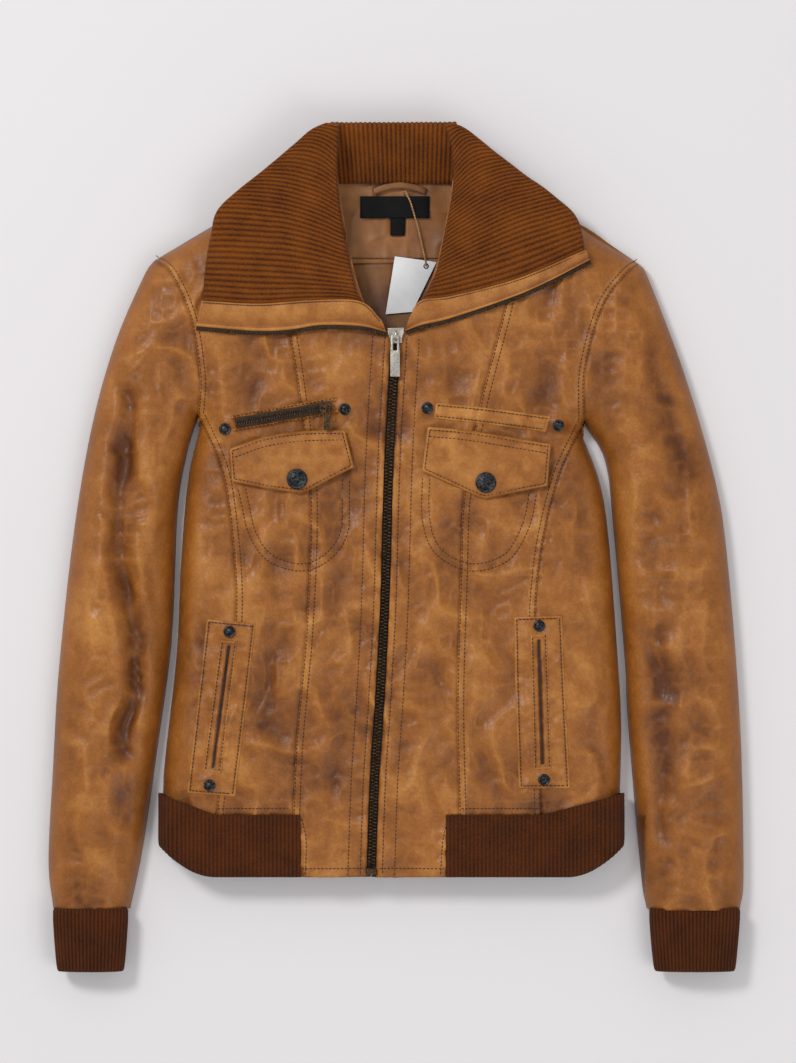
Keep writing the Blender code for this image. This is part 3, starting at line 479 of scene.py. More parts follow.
def bumps(q, free):
    """The small shapes of the hide: creases, laps at the seams, puckers and gathers."""
    x, y = q[:, 0], q[:, 1]
    wx, wy = x + 9 * noise(x, y, 40, 3), y + 9 * noise(x, y, 40, 4)
    z = free * 1.0 * creased(wx, wy * 0.7, 26, 12)
    z += free * 0.5 * creased(wx, wy, 11, 13) + free * 0.15 * creased(x, y, 5, 14)
    for k, (line, side, width) in enumerate(LAPS):
        away, along = line.near(q, 22)
        gap = away * side
        lap = smooth_step(gap, -0.3, 0.5) * (1 - smooth_step(gap, width, width + 2.5))
        z += 0.75 * lap - 0.9 * np.exp(-(((gap + 0.4) / 0.8) ** 2))
        z -= 0.3 * np.exp(-(((gap - 1.3) / 0.7) ** 2)) + 0.35 * np.exp(-(((gap - width) / 0.8) ** 2))
        near = np.exp(-(((gap - width / 2) / (0.9 * width)) ** 2))
        z += 0.75 * near * ripple(along + 0.5 * gap, 20 + k, 4.4)
        z += 0.8 * near * ripple(along, 40 + k, 14)
    for k, line in enumerate(PLACKETS):
        away, along = line.near(q, 20)
        z -= 0.35 * np.exp(-((away / 0.8) ** 2))
        z += 0.85 * np.exp(-((away / 6) ** 2)) * ripple(along + 0.3 * away, 60 + k, 6.0)
    away, along = ZIP.near(q, 40)
    z += 0.9 * np.exp(-(((np.abs(away) - 6.5) / 3) ** 2)) - 1.2 * np.exp(-((away / 4) ** 2))
    z += 1.0 * np.exp(-((away / 15) ** 2)) * ripple(along, 70, 10)
    for k, line in enumerate(POCKET_BAGS.values()):
        away, along = line.near(q, 24)
        for row in (0, 6.2):
            z -= 0.4 * np.exp(-(((away - row) / 0.9) ** 2))
        z += 0.7 * np.exp(-(((away - 3) / 6) ** 2)) * ripple(along + 0.3 * away, 80 + k, 5.0)
    hem = np.exp(-np.clip(y - HEM_LEVEL, 0, None) / 17) * (np.abs(x + 17) > 62)
    hem = hem * (y < HEM_LEVEL + 70) * (np.abs(x) < 215)
    cuff = np.exp(-np.clip(y + 311, 0, None) / 14) * (np.abs(x) > 205)
    beside_rib = smooth_step(np.abs(x + 20), 62, 64.5) * smooth_step(-y, -HEM_LEVEL - 2, -HEM_LEVEL + 1)
    z -= 1.6 * beside_rib * (np.abs(x) < 215)
    return z + hem * (noise(x, y * 0.25, 9, 31) - 0.9) + cuff * (1.1 * noise(x, y * 0.3, 8, 32) - 1)


def drape(q, free):
    """The large folds and the soft waves between them."""
    x, y = q[:, 0], q[:, 1]
    warped = np.column_stack([x + 9 * noise(x, y, 40, 3), y + 9 * noise(x, y, 40, 4)])
    z = free * 1.3 * noise(x, y, 55, 11)
    for line, width, height in FOLDS:
        away, along = line.near(warped, 4 * width)
        ends = smooth_step(along, 0, 25) * smooth_step(line.length - along, 0, 25)
        z += free * height * ends * np.exp(-((away / width) ** 2))
        bank = np.exp(-(((np.abs(away) - 1.9 * width) / width) ** 2))
        z += free * 0.25 * abs(height) * ends * bank
    return z


def relief(q, wear_and_shade=False):
    """The height of the leather over the floor at points of the pattern, in millimetres.

    When asked for it, also a tone for the colour from 0 to 1: higher on raised bumps and folds, lower in
    sunk folds, creases and seams and within 12 mm of the outline; partly rubbed wax and pooled colour,
    partly painted highlight and painted shade.
    """
    d = inside(q)
    sleeve = smooth_step(np.abs(q[:, 0]), 175, 205)
    turn = np.arccos(np.clip(1 - d / (TORSO_ROLL + (SLEEVE_ROLL - TORSO_ROLL) * sleeve), 0, 1))
    z = SKIRT + (LOFT - 1.5 - SKIRT) * np.sin(turn)
    free = smooth_step(d, 2, 26)
    folds, small = drape(q, free), bumps(q, free)
    z = z + folds + small
    for (x, y), radius in PRESSED:
        near = np.exp(-((np.hypot(q[:, 0] - x, q[:, 1] - y) / radius) ** 4))
        z += near * (LOFT - z)
    from_zip = np.abs(ZIP.near(q, 30)[0])
    z = np.minimum(z, SLIDER_FLOOR + 4 * smooth_step(from_zip, 8.5, 15))
    z = np.clip(z, SKIRT, LOFT + 4)
    if not wear_and_shade:
        return z
    # The tone: partly rubbed wax and pooled colour, partly painted highlight on raised hide and painted
    # shade in folds, seams and at the rolled edges.
    return z, np.clip(0.47 + 0.09 * small + 0.035 * folds - 0.10 * (1 - smooth_step(d, 0, 12)), 0, 1)


# ---------------------------------------------------------------- making pieces


def finish_piece(name, mesh, material, body, replaced=(), smooth=True):
    obj = bpy.data.objects.new(name, mesh)
    bpy.context.scene.collection.objects.link(obj)
    mesh.materials.append(material)
    mesh.polygons.foreach_set("use_smooth", [smooth] * len(mesh.polygons))
    if body:
        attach(obj, body)
    if replaced:
        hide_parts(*replaced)
    return obj


def mesh_of(name, points, faces, ridge=None):
    """A mesh from points in millimetres and quads or triangles."""
    mesh = bpy.data.meshes.new(name)
    mesh.vertices.add(len(points))
    mesh.vertices.foreach_set("co", (np.asarray(points, float) * MM).ravel())
    faces = np.asarray(faces)
    count, size = faces.shape
    mesh.loops.add(count * size)
    mesh.loops.foreach_set("vertex_index", faces.ravel())
    mesh.polygons.add(count)
    mesh.polygons.foreach_set("loop_start", np.arange(count) * size)
    mesh.polygons.foreach_set("loop_total", np.full(count, size))
    mesh.update(calc_edges=True)
    if ridge is not None:
        mesh.attributes.new("ridge", "FLOAT", "POINT").data.foreach_set("value", np.ravel(ridge))
    return mesh


def quads(rows, cols, start=0):
    i, j = np.meshgrid(np.arange(rows - 1), np.arange(cols - 1), indexing="ij")
    a = (start + i * cols + j).ravel()
    return np.column_stack([a, a + 1, a + cols + 1, a + cols])


def skin(name, top, thickness, ridge=None):
    """A closed sheet: a grid of points that run up and to the right, with its wall below it."""
    rows, cols = top.shape[:2]
    across, up = np.gradient(top, axis=1), np.gradient(top, axis=0)
    normal = np.cross(across, up)
    normal /= np.maximum(np.linalg.norm(normal, axis=2, keepdims=True), 1e-9)
    under = top - thickness * normal
    count = rows * cols
    upper = quads(rows, cols)
    index = np.arange(count).reshape(rows, cols)
    rim = np.concatenate([index[0, :], index[1:, -1], index[-1, -2::-1], index[-2:0:-1, 0]])
    turned = np.roll(rim, -1)
    walls = np.column_stack([rim, rim + count, turned + count, turned])
    points = np.concatenate([top.reshape(-1, 3), under.reshape(-1, 3)])
    shade = None if ridge is None else np.tile(np.ravel(ridge), 2)
    return mesh_of(name, points, np.concatenate([upper, upper[:, ::-1] + count, walls]), shade)


def stations(length, step, edge=0.0, fine=0.8, near=True, far=True):
    """Places along a length, close together within edge of each end that has a seam."""
    low = np.arange(0, edge, fine) if near and edge else np.array([0.0])
    high = length - low[::-1] if far and edge else np.array([length])
    low = low if near else np.array([0.0])
    gap = high[0] - low[-1]
    middle = np.linspace(low[-1], high[0], max(2, round(gap / step) + 1))[1:-1]
    return np.concatenate([low, middle, high])


def ruled(left, right, step=1.8, edge=9.0, low=0.0, high=1.0, seams=(True, True)):
    """A grid of the pattern between two lines that run up, closer set beside the seams."""
    length = max(left.length, right.length) * (high - low)
    v = np.linspace(low, high, round(length / step) + 1)
    a, b = left.at(v), right.at(v)
    wide = np.linalg.norm(b - a, axis=1)
    widest = wide.max()
    places = stations(widest, step, edge, 0.8, *seams)
    grid = np.empty((len(v), len(places), 2))
    for k, w in enumerate(wide):
        held = min(edge, w / 3)
        u = np.interp(places, [0, edge, widest - edge, widest], [0, held, w - held, w])
        grid[k] = a[k] + (u / max(w, 1e-6))[:, None] * (b[k] - a[k])
    return grid


def leather_panel(name, grid, body, replaced, thickness=SKIN, blend=None, material=None):
    flat = grid.reshape(-1, 2)
    # The tone carries painted shade and painted highlight along with the wax's own rub and pooling.
    z, wear_and_shade = relief(flat, wear_and_shade=True)
    top = np.column_stack([flat, z]).reshape(*grid.shape[:2], 3)
    mesh = skin(name, top, thickness, wear_and_shade)
    obj = finish_piece(name, mesh, material or LEATHER, body, replaced)
    if blend:
        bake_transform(obj)
    return obj


# ---------------------------------------------------------------- leather panels

ZIP_UP = ZIP.back()
ZIP_EDGE_R, ZIP_EDGE_L = ZIP_UP.beside(ZIP_SLOT), ZIP_UP.beside(-ZIP_SLOT)
SLEEVE_PIVOT = {"r": (-0.1905, 0.182, 0), "l": (0.187, 0.178, 0)}
SLEEVE_TURN = {"r": (-0.248, 0.165, 0), "l": (0.245, 0.161, 0)}
SLEEVE_BODY = {"r": "sleeve_right", "l": "sleeve_left"}


def torso_front():
    centre_r = HEM_TURN_R.then(PRINCESS_R), ZIP_EDGE_R.then(NECK_R)
    centre_l = ZIP_EDGE_L.then(NECK_L), HEM_TURN_L.then(PRINCESS_L)
    mid_r, mid_l = SIDE_FRONT_R.then(ARMHOLE_R), SIDE_FRONT_L.then(ARMHOLE_L)
    for name, left, right in (
            ("front_centre_r", *centre_r), ("front_centre_l", *centre_l),
            ("front_mid_r", mid_r, PRINCESS_R), ("front_mid_l", PRINCESS_L, mid_l),
            ("side_panel_r", SIDE_R, SIDE_FRONT_R), ("side_panel_l", SIDE_FRONT_L, SIDE_L)):
        leather_panel(f"{name}_leather", ruled(left, right), "torso", [name])


def sleeve_lines(side):
    if side == "r":
        return SLEEVE_OUT_R, SLEEVE_IN_R.then(ARMHOLE_R)
    return SLEEVE_IN_L.then(ARMHOLE_L), SLEEVE_OUT_L


def sleeves():
    for side in "rl":
        turn = ("torso", SLEEVE_BODY[side], SLEEVE_PIVOT[side], SLEEVE_TURN[side])
        grid = ruled(*sleeve_lines(side), high=0.998)
        leather_panel(f"upper_sleeve_{side}_leather", grid, None, [f"upper_sleeve_{side}"],
                      blend=turn)
        under = ruled(*sleeve_lines(side), step=4.0, high=0.998)
        obj = finish_piece(f"under_sleeve_{side}_leather", floor_skin("under", under), LEATHER,
                           None, [f"under_sleeve_{side}"])
        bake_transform(obj)


def floor_skin(name, grid):
    """A panel that lies on its back: flat, a little creased, and turned up to meet the front."""
    flat = grid.reshape(-1, 2)
    d = inside(flat)
    x, y = flat[:, 0], flat[:, 1]
    z = 1.75 + 1.2 * np.exp(-((d / 5) ** 2)) + 0.5 * (noise(x, y, 40, 90) + noise(x, y, 16, 91) / 2)
    top = np.column_stack([flat, np.clip(z, 1.5, SKIRT)]).reshape(*grid.shape[:2], 3)
    return skin(name, top, SKIN, np.full(len(flat), 0.45) + 0.1 * noise(x, y, 12, 92))


def torso_back():
    left = SIDE_R.then(ARMHOLE_R).then(SHOULDER_R)
    right = SIDE_L.then(ARMHOLE_L).then(SHOULDER_L)
    finish_piece("back_panel_leather", floor_skin("back", ruled(left, right, step=4.0)), LEATHER,
                 "torso", ["back_panel"])


# ---------------------------------------------------------------- rib knit

RIB_PITCH = 3.4
COLLAR_PITCH = 3.9
RIB_HEIGHT = 0.9
RIB_STEPS = (0.0, 0.1, 0.24, 0.5, 0.76, 0.9)


def rib_places(length, pitch):
    """Stations across the ribs, and how high each is on its rib, from 0 to 1."""
    count = round(length / pitch)
    cycle = (np.arange(count)[:, None] + np.array(RIB_STEPS)).ravel()
    cycle = np.append(cycle, count)
    return cycle / count * length, 1 - np.abs(np.cos(np.pi * cycle)) ** 3


def walk(points, places):
    """Points and outward normals along an open path in a plane, at places along it."""
    p = np.array(points, float)
    s = np.concatenate([[0], np.cumsum(np.linalg.norm(np.diff(p, axis=0), axis=1))])
    at = np.stack([np.interp(places, s, p[:, k]) for k in (0, 1)], -1)
    run = np.gradient(at, axis=0)
    run /= np.linalg.norm(run, axis=1)[:, None]
    return at, np.column_stack([-run[:, 1], run[:, 0]]), s[-1]


def path_length(points):
    return np.linalg.norm(np.diff(np.array(points, float), axis=0), axis=1).sum()


# The section of a rib band, from its seam to its fold and back: sunk below the skin, share down.
BAND = [(-1.6, 0.0), (-0.4, 0.05), (0.2, 0.2), (0.4, 0.35), (0.5, 0.5), (0.4, 0.65), (0.2, 0.8),
        (-0.1, 0.9), (-0.5, 0.965), (-1.5, 1.0), (-2.6, 0.965), (-3.0, 0.85), (-3.0, 0.5),
        (-3.0, 0.15), (-3.0, 0.0)]


def rib_band(name, path, top, low, squeeze=None, closed=False):
    """Ribs that run from top(x) to low(x) on a path of (x, z) round the body."""
    places, ridge = rib_places(path_length(path), RIB_PITCH)
    at, out, _ = walk(path, places)
    grid, shade = [], []
    for sunk, share in BAND:
        lift = sunk + RIB_HEIGHT * (ridge - 1) * (1 if sunk > -2 else 0.3)
        lift = lift + 0.25 * noise(places, np.full_like(places, share * 40), 22, 51)
        x, z = at[:, 0] + out[:, 0] * lift, at[:, 1] + out[:, 1] * lift
        if squeeze:
            x = squeeze(x, share)
        y = top(at[:, 0]) + share * (low(at[:, 0]) - top(at[:, 0]))
        grid.append(np.column_stack([x, y, np.maximum(z, 0.3)]))
        shade.append(ridge)
    grid, shade = np.array(grid), np.array(shade)
    rows, cols = grid.shape[:2]
    i, j = np.meshgrid(np.arange(rows), np.arange(cols - 1), indexing="ij")
    a, b = (i * cols + j).ravel(), (((i + 1) % rows) * cols + j).ravel()
    faces = [np.column_stack([b, b + 1, a + 1, a])]
    mesh = mesh_of(name, grid.reshape(-1, 3), faces[0], shade)
    close_mesh(mesh, merge=closed)
    return mesh


def close_mesh(mesh, merge=False):
    """Joins the ends of a ring, or caps them, and turns every face outwards."""
    bm = bmesh.new()
    bm.from_mesh(mesh)
    if merge:
        bmesh.ops.remove_doubles(bm, verts=bm.verts, dist=0.00002)
    holes = [e for e in bm.edges if e.is_boundary]
    if holes:
        bmesh.ops.holes_fill(bm, edges=holes, sides=0)
    bmesh.ops.recalc_face_normals(bm, faces=bm.faces)
    bm.to_mesh(mesh)
    bm.free()


def rolled(edge, inward, reach, top, floor, roll):
    """Half a section: from a point reach inside the edge, out to the edge, down to the floor."""
    round_edge = roll * (1 - np.sin(np.linspace(0, np.pi / 2, 14)))
    d = np.concatenate([np.linspace(reach, roll, 8)[:-1], round_edge])
    turn = np.arccos(np.clip(1 - d / roll, 0, 1))
    middle = (top + floor) / 2
    z = middle + (top - middle) * np.sin(turn)
    return np.column_stack([edge + inward * d, z])


HEM_SIDE_R, HEM_SIDE_L = -202, 194
HEM_DEPTH, HEM_SIDE_RISE, HEM_EDGE_LIFT = 52, 18, 26
HEM_RISE_R, HEM_RISE_L, HEM_CURL = 47, 69, 47  # how far from each side its seam and edge rise


def hem_rib():
    right = rolled(HEM_SIDE_R, 1, HEM_SIDE_R * -1 - 82, 33.2, 3.6, 17)
    left = rolled(HEM_SIDE_L, -1, HEM_SIDE_L - 43, 33.2, 3.6, 17)
    under_r = right[::-1] * (1, -1) + (0, 2 * (33.2 + 3.6) / 2)
    under_l = left[::-1] * (1, -1) + (0, 33.2 + 3.6)
    path = np.vstack([right, under_r[1:10], under_l[::-1][-10:-1], left[::-1]])

    def near(x, right, left):
        return np.clip(1 - np.minimum((x - HEM_SIDE_R) / right, (HEM_SIDE_L - x) / left), 0, 1)

    mesh = rib_band("hem_rib_knit", path,
                    lambda x: HEM_LEVEL + 1.5 + near(x, HEM_RISE_R, HEM_RISE_L) * HEM_SIDE_RISE,
                    lambda x: HEM_LEVEL - HEM_DEPTH + near(x, HEM_CURL, HEM_CURL) ** 2 * HEM_EDGE_LIFT)
    finish_piece("hem_rib_knit", mesh, RIB_HEM, "torso", ["hem_rib"])


CUFF_TOP, CUFF_LOW, CUFF_TAPER = -309.5, -364, 0.115


def cuffs():
    for side, low, high in (("r", -296.5, -230.5), ("l", 217.8, 297.5)):
        middle, half = (low + high) / 2, (high - low) / 2
        turn = np.linspace(0, 2 * np.pi, 97)
        flat = np.abs(np.sin(turn)) ** 0.75 * np.sign(np.sin(turn))
        path = np.column_stack([middle - half * np.cos(turn), 17.8 + 15.0 * flat])
        mesh = rib_band("cuff", path, lambda x: np.full_like(x, CUFF_TOP),
                        lambda x: np.full_like(x, CUFF_LOW),
                        lambda x, share: middle + (x - middle) * (1 - CUFF_TAPER * share), True)
        finish_piece(f"cuff_rib_{side}_knit", mesh, RIB_HEM, SLEEVE_BODY[side],
                     [f"cuff_rib_{side}"])


# ---------------------------------------------------------------- collar

WING_FLOOR = 36.5
WING_OUTER = {
    "r": Line([(-166, 211), (-164, 240), (-159, 270), (-151, 294), (-115, 324), (-88, 347),
               (-73, 360), (-60, 366)]),
    "l": Line([(162, 256), (160, 270), (156, 283), (147, 294), (121, 314), (95, 333), (72, 352),
               (60, 361), (50, 365.5)]),
}
WING_INNER = {
    "r": Line([(-26, 211), (-34, 223), (-42, 261), (-47, 290), (-50, 319), (-50, 345), (-48, 365)]),
    "l": Line([(22, 214), (34, 238), (42, 276), (47, 300), (49, 319), (48, 345), (41, 365)]),
}
BAND_TOP = {"r": Line([(-167, 213), (-118, 210.5), (-72, 213.5), (-31, 212.5), (-12, 196)]),
            "l": Line([(163, 257), (104, 232), (47, 217), (21, 213), (11, 198)])}
BAND_LOW = {"r": Line([(-171.5, 191), (-121, 187), (-92, 188), (-64, 192), (-30, 191), (-8, 186)]),
            "l": Line([(166.5, 248), (132, 230), (100, 216), (47, 198), (22, 192), (8, 187)])}
COLLAR_BODY = {"r": "collar_right", "l": "collar_left"}
WING_DENTS = {"r": [((-82, 259), (-47, 231), 7, -1.7), ((-120, 280), (-96, 300), 9, -0.7)],
              "l": [((70, 300), (96, 318), 9, -0.8), ((40, 250), (70, 232), 8, -0.9)]}


def wing_surface(q, side):
    """The top of a collar wing, dented and slack, with its lower edge sewn into the band."""
    x, y = q[:, 0], q[:, 1]
    z = 41.6 + 0.9 * noise(x, y, 38, 61) + 0.35 * noise(x, y, 14, 62)
    for start, end, width, depth in WING_DENTS[side]:
        away, along = Line([start, end]).near(q)
        z += depth * np.exp(-((away / width) ** 2)) * smooth_step(along, -2, 12)
    band = np.abs(BAND_TOP[side].near(q)[0])
    return z - 3.0 * np.exp(-((band / 5) ** 2))


def wing(side):
    outer, inner = WING_OUTER[side], WING_INNER[side]
    places, ridge = rib_places(inner.length, COLLAR_PITCH)
    share = places / inner.length
    a, b = outer.at(share), inner.at(share)
    wide = np.linalg.norm(b - a, axis=1)
    u = stations(1.0, 0.018)
    start, end = (a, b) if side == "r" else (b, a)
    flat = start[:, None] + u[:, None] * (end - start)[:, None]
    fold = u if side == "r" else 1 - u
    bow = 5.5 * np.sin(np.pi * fold) - 3.0 * fold**3
    hold = smooth_step(share, 0.02, 0.35) * (1 - smooth_step(share, 0.8, 1.0))
    flat[..., 1] += bow * hold[:, None]
    first_row = start[0] + u[:, None] * (end - start)[0]
    sewn = BAND_TOP[side].p[np.argsort(BAND_TOP[side].p[:, 0])]
    drop = np.interp(first_row[..., 0], sewn[:, 0], sewn[:, 1]) - 0.8 - first_row[..., 1]
    flat[..., 1] += drop * (1 - smooth_step(share, 0, 0.16))[:, None]
    flat[..., 1] += 0.8 * hold[:, None] * noise(flat[..., 0], flat[..., 1] * 0.3, 16, 63)
    z = wing_surface(flat.reshape(-1, 2), side).reshape(flat.shape[:2])
    edge = np.minimum(u, 1 - u) * wide[:, None]
    top_edge = (1 - share[:, None]) * inner.length
    round_off = np.clip(np.minimum(edge, top_edge) / 3.2, 0, 1)
    z = WING_FLOOR + 1.2 + (z - WING_FLOOR - 1.2) * np.sqrt(1 - (1 - round_off) ** 2)
    z = z + RIB_HEIGHT * (ridge[:, None] - 0.6) * (0.35 + 0.65 * round_off)
    top = np.dstack([flat, np.maximum(z, WING_FLOOR + 0.8)])
    under = np.dstack([flat, np.full_like(z, WING_FLOOR)])
    shade = np.broadcast_to(ridge[:, None], z.shape)
    mesh = double_skin(f"collar_wing_{side}_knit", top, under, shade)
    finish_piece(f"collar_wing_{side}_knit", mesh, RIB_COLLAR, COLLAR_BODY[side],
                 [f"collar_wing_{side}"])


def double_skin(name, top, under, ridge=None):
    """A closed piece between two grids of the same size, the first above the second."""
    rows, cols = top.shape[:2]
    count = rows * cols
    upper = quads(rows, cols)
    index = np.arange(count).reshape(rows, cols)
    rim = np.concatenate([index[0, :], index[1:, -1], index[-1, -2::-1], index[-2:0:-1, 0]])
    turned = np.roll(rim, -1)
    walls = np.column_stack([rim, rim + count, turned + count, turned])
    points = np.concatenate([top.reshape(-1, 3), under.reshape(-1, 3)])
    shade = None if ridge is None else np.tile(np.ravel(ridge), 2)
    return mesh_of(name, points, np.concatenate([upper, upper[:, ::-1] + count, walls]), shade)


# The stand's section from the neck seam over the fold and down behind, as (y, z), and back inside.
STAND_OUT = [(316, 8.6), (320, 10.5), (327, 14.2), (336, 19), (346, 25.3), (355, 31), (360.5, 34),
             (364, 34.6), (366.4, 32), (367.2, 26), (366, 17), (362, 9), (355, 3.6)]
STAND_IN = [(354, 1.2), (359, 2.2), (363, 8), (364.2, 17), (364.2, 26), (362.5, 30.3), (357, 28),
            (347, 21.6), (337, 15.4), (328, 10.6), (320, 6.6), (316, 5.2)]


def stand():
    places, ridge = rib_places(104.0, COLLAR_PITCH)
    share = places / 104.0
    section = np.array(STAND_OUT + STAND_IN, float)
    outer = np.arange(len(section)) < len(STAND_OUT)
    run = np.roll(section, -1, 0) - np.roll(section, 1, 0)
    out = np.column_stack([-run[:, 1], run[:, 0]]) / np.linalg.norm(run, axis=1)[:, None]
    grid = []
    for (y, z), normal, is_out in zip(section, out, outer):
        spread = (y - 316) / 48
        x = -52.5 - 4 * spread + share * (102.5 + 6 * spread)
        lift = (RIB_HEIGHT * (ridge - 0.5) if is_out else 0 * ridge)
        lift = lift + 0.5 * noise(x, np.full_like(x, y), 30, 64) * is_out
        ends = 5.0 * (np.exp(-(((x + 54) / 7) ** 2)) + np.exp(-(((x - 51) / 7) ** 2))) * spread
        grid.append(np.column_stack([x, y + normal[0] * lift, z + normal[1] * lift + ends]))
    grid = np.array(grid)
    rows, cols = grid.shape[:2]
    i, j = np.meshgrid(np.arange(rows), np.arange(cols - 1), indexing="ij")
    a, b = (i * cols + j).ravel(), (((i + 1) % rows) * cols + j).ravel()
    mesh = mesh_of("collar_stand_knit", grid.reshape(-1, 3), np.column_stack([a, a + 1, b + 1, b]),
                   np.broadcast_to(ridge, (rows, cols)))
    close_mesh(mesh)
    finish_piece("collar_stand_knit", mesh, RIB_COLLAR, "torso", ["collar_stand"])


# The band's section from its piped lower edge to its stitched upper edge: share up, height.
BAND_SECTION = [(0.0, 37.0), (0.0, 38.0), (0.02, 38.9), (0.06, 39.5), (0.10, 39.4), (0.14, 38.7),
                (0.17, 38.3), (0.22, 38.7), (0.3, 39.3), (0.4, 39.9), (0.5, 40.3), (0.6, 40.5),
                (0.7, 40.5), (0.8, 40.5), (0.88, 40.4), (0.93, 40.1), (0.97, 40.3), (1.0, 40.2),
                (1.0, 39.5)]


def band(side):
    low, top = BAND_LOW[side], BAND_TOP[side]
    v = np.linspace(0, 1, round(low.length / 1.6) + 1)
    a, b = low.at(v), top.at(v)
    rows = []
    for share, height in BAND_SECTION:
        p = a + share * (b - a)
        z = height + 0.3 * noise(p[:, 0], p[:, 1], 12, 65) + 0.2 * noise(p[:, 0], p[:, 1] * 0.3, 5, 66)
        rows.append(np.column_stack([p, z]))
    grid = np.array(rows)
    if side == "l":
        grid = grid[:, ::-1]
    # The colour is lighter where the band stands higher, a painted highlight, and lighter again along the
    # piping rows of its lower edge.
    shade = 0.5 + 0.08 * (grid[..., 2] - 39.6) + 0.08 * noise(grid[..., 0], grid[..., 1], 9, 67)
    shade[1:5] += 0.16
    under = grid.copy()
    under[..., 2] = WING_FLOOR
    mesh = double_skin(f"collar_band_{side}_leather", grid, under, shade)
    finish_piece(f"collar_band_{side}_leather", mesh, LEATHER, COLLAR_BODY[side],
                 [f"collar_band_{side}"])


def collar():
    stand()
    for side in "rl":
        wing(side)
        band(side)


# ---------------------------------------------------------------- patches of leather on the front


def patch(name, low, top, replaced, body="torso", lift=1.5, rim=1.6, slit=None, base=None,
          material=None, step=1.3, tone=0.5, blend=None, gap=0.0):
    """A leather patch between two lines, thick as lift over the front, its edges turned under."""
    v = stations(1.0, step / max(np.linalg.norm(low.at(0) - top.at(0)), 1))
    u = np.linspace(0, 1, round(low.length / step) + 1)
    a, b = low.at(u), top.at(u)
    flat = a[None] + v[:, None, None] * (b - a)[None]
    q = flat.reshape(-1, 2)
    ground = relief(q) if base is None else np.full(len(q), base)
    rise = np.linalg.norm(b - a, axis=1)[None] * np.minimum(v, 1 - v)[:, None]
    side = low.length * np.minimum(u, 1 - u)[None] + 0 * rise
    edge = np.clip(np.minimum(rise, side).ravel() / rim, 0, 1)
    body_z = ground + gap + lift * np.sqrt(np.clip(1 - (1 - edge) ** 2, 0, 1))
    inner = np.minimum(rise, side).ravel()
    body_z -= 0.35 * np.exp(-(((inner - 2.6) / 0.7) ** 2))
    body_z += 0.25 * creased(q[:, 0], q[:, 1], 9, 71) + 0.25 * noise(q[:, 0], q[:, 1], 4, 72)
    # The rim is coloured lighter; the groove inside it and the pocket slit are coloured darker, painted
    # shade.
    shade = tone + 0.10 * noise(q[:, 0], q[:, 1], 7, 73) + 0.16 * np.exp(-(((inner - 0.8) / 0.9) ** 2))
    shade -= 0.14 * np.exp(-(((inner - 2.8) / 0.8) ** 2))
    if slit is not None:
        away, along = slit.near(q)
        ends = smooth_step(along, 0, 1.5) * smooth_step(slit.length - along, 0, 1.5)
        body_z -= (lift + 0.6) * ends * np.exp(-((away / 1.2) ** 4))
        body_z += 0.7 * ends * np.exp(-(((np.abs(away) - 2.6) / 1.5) ** 2))
        shade -= 0.5 * ends * np.exp(-((away / 1.6) ** 4))
    top_grid = np.column_stack([q, body_z]).reshape(*flat.shape[:2], 3)
    under = np.column_stack([q, np.minimum(ground + gap, body_z - 0.3) - 0.15]).reshape(top_grid.shape)
    mesh = double_skin(name, top_grid, under, np.clip(shade, 0, 1))
    obj = finish_piece(name, mesh, material or LEATHER, body, replaced)
    if blend:
        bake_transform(obj)
    return obj


FLAP_LOW = {"r": Line([(-141, 58), (-112, 52), (-86, 48.5), (-81, 48), (-76, 49.5), (-58, 59),
                       (-36, 70)], smooth=False),
            "l": Line([(22, 67), (48, 55), (72, 44), (77, 43), (82, 44), (105, 49), (130, 54)],
                      smooth=False)}
FLAP_TOP = {"r": Line([(-143, 86), (-114, 96), (-81, 101), (-44, 102)]),
            "l": Line([(27, 105), (60, 102), (98, 96), (133, 90)])}
FLAP_HINGE = {"r": ((-0.092, 0.0925, 0), (-0.0905, 0.0865, 0)),
              "l": ((0.0797, 0.0935, 0), (0.0789, 0.0875, 0))}
FLAP_BODY = {"r": "chest_flap_right", "l": "chest_flap_left"}
WELT_LOW, WELT_TOP = Line([(32, 112), (80, 106.5), (129, 100)]), Line([(34, 126), (82, 121), (133, 114)])
LIP_R = Line([(-141, 107.5), (-95, 115.5), (-50, 123.5)])
FRAME_SIDES = {"r": (Line([(-180, -210), (-172, -140), (-163, -60)]),
                     Line([(-138, -213), (-129, -140), (-120, -64)])),
               "l": (Line([(105, -206), (102.5, -130), (101, -58)]),
                     Line([(150, -206), (146, -130), (143, -57)]))}
WELT_SIDES = {"r": (Line([(-166, -191), (-151, -78)]), Line([(-150, -193), (-136, -79)])),
              "l": (Line([(118, -190), (115, -73)]), Line([(134, -189), (130, -73)]))}
SLITS = {"r": Line([(-157.5, -189), (-143.5, -82)]), "l": Line([(126, -186), (122.5, -77)])}


def chest_patches():
    for side in "rl":
        start, end = FLAP_HINGE[side]
        patch(f"chest_flap_{side}_leather", FLAP_LOW[side], FLAP_TOP[side], [f"chest_flap_{side}"],
              body=None, lift=2.0, base=38.2, tone=0.52,
              blend=("torso", FLAP_BODY[side], start, end))
    patch("chest_welt_leather", WELT_LOW, WELT_TOP, ["chest_welt"], lift=2.2, rim=3.0, tone=0.6)
    for name, near, far in (("upper", 3.3, 7.6), ("lower", -7.6, -3.3)):
        patch(f"chest_zip_lip_{name}", LIP_R.beside(near), LIP_R.beside(far), [], lift=1.7, rim=1.6,
              tone=0.42)


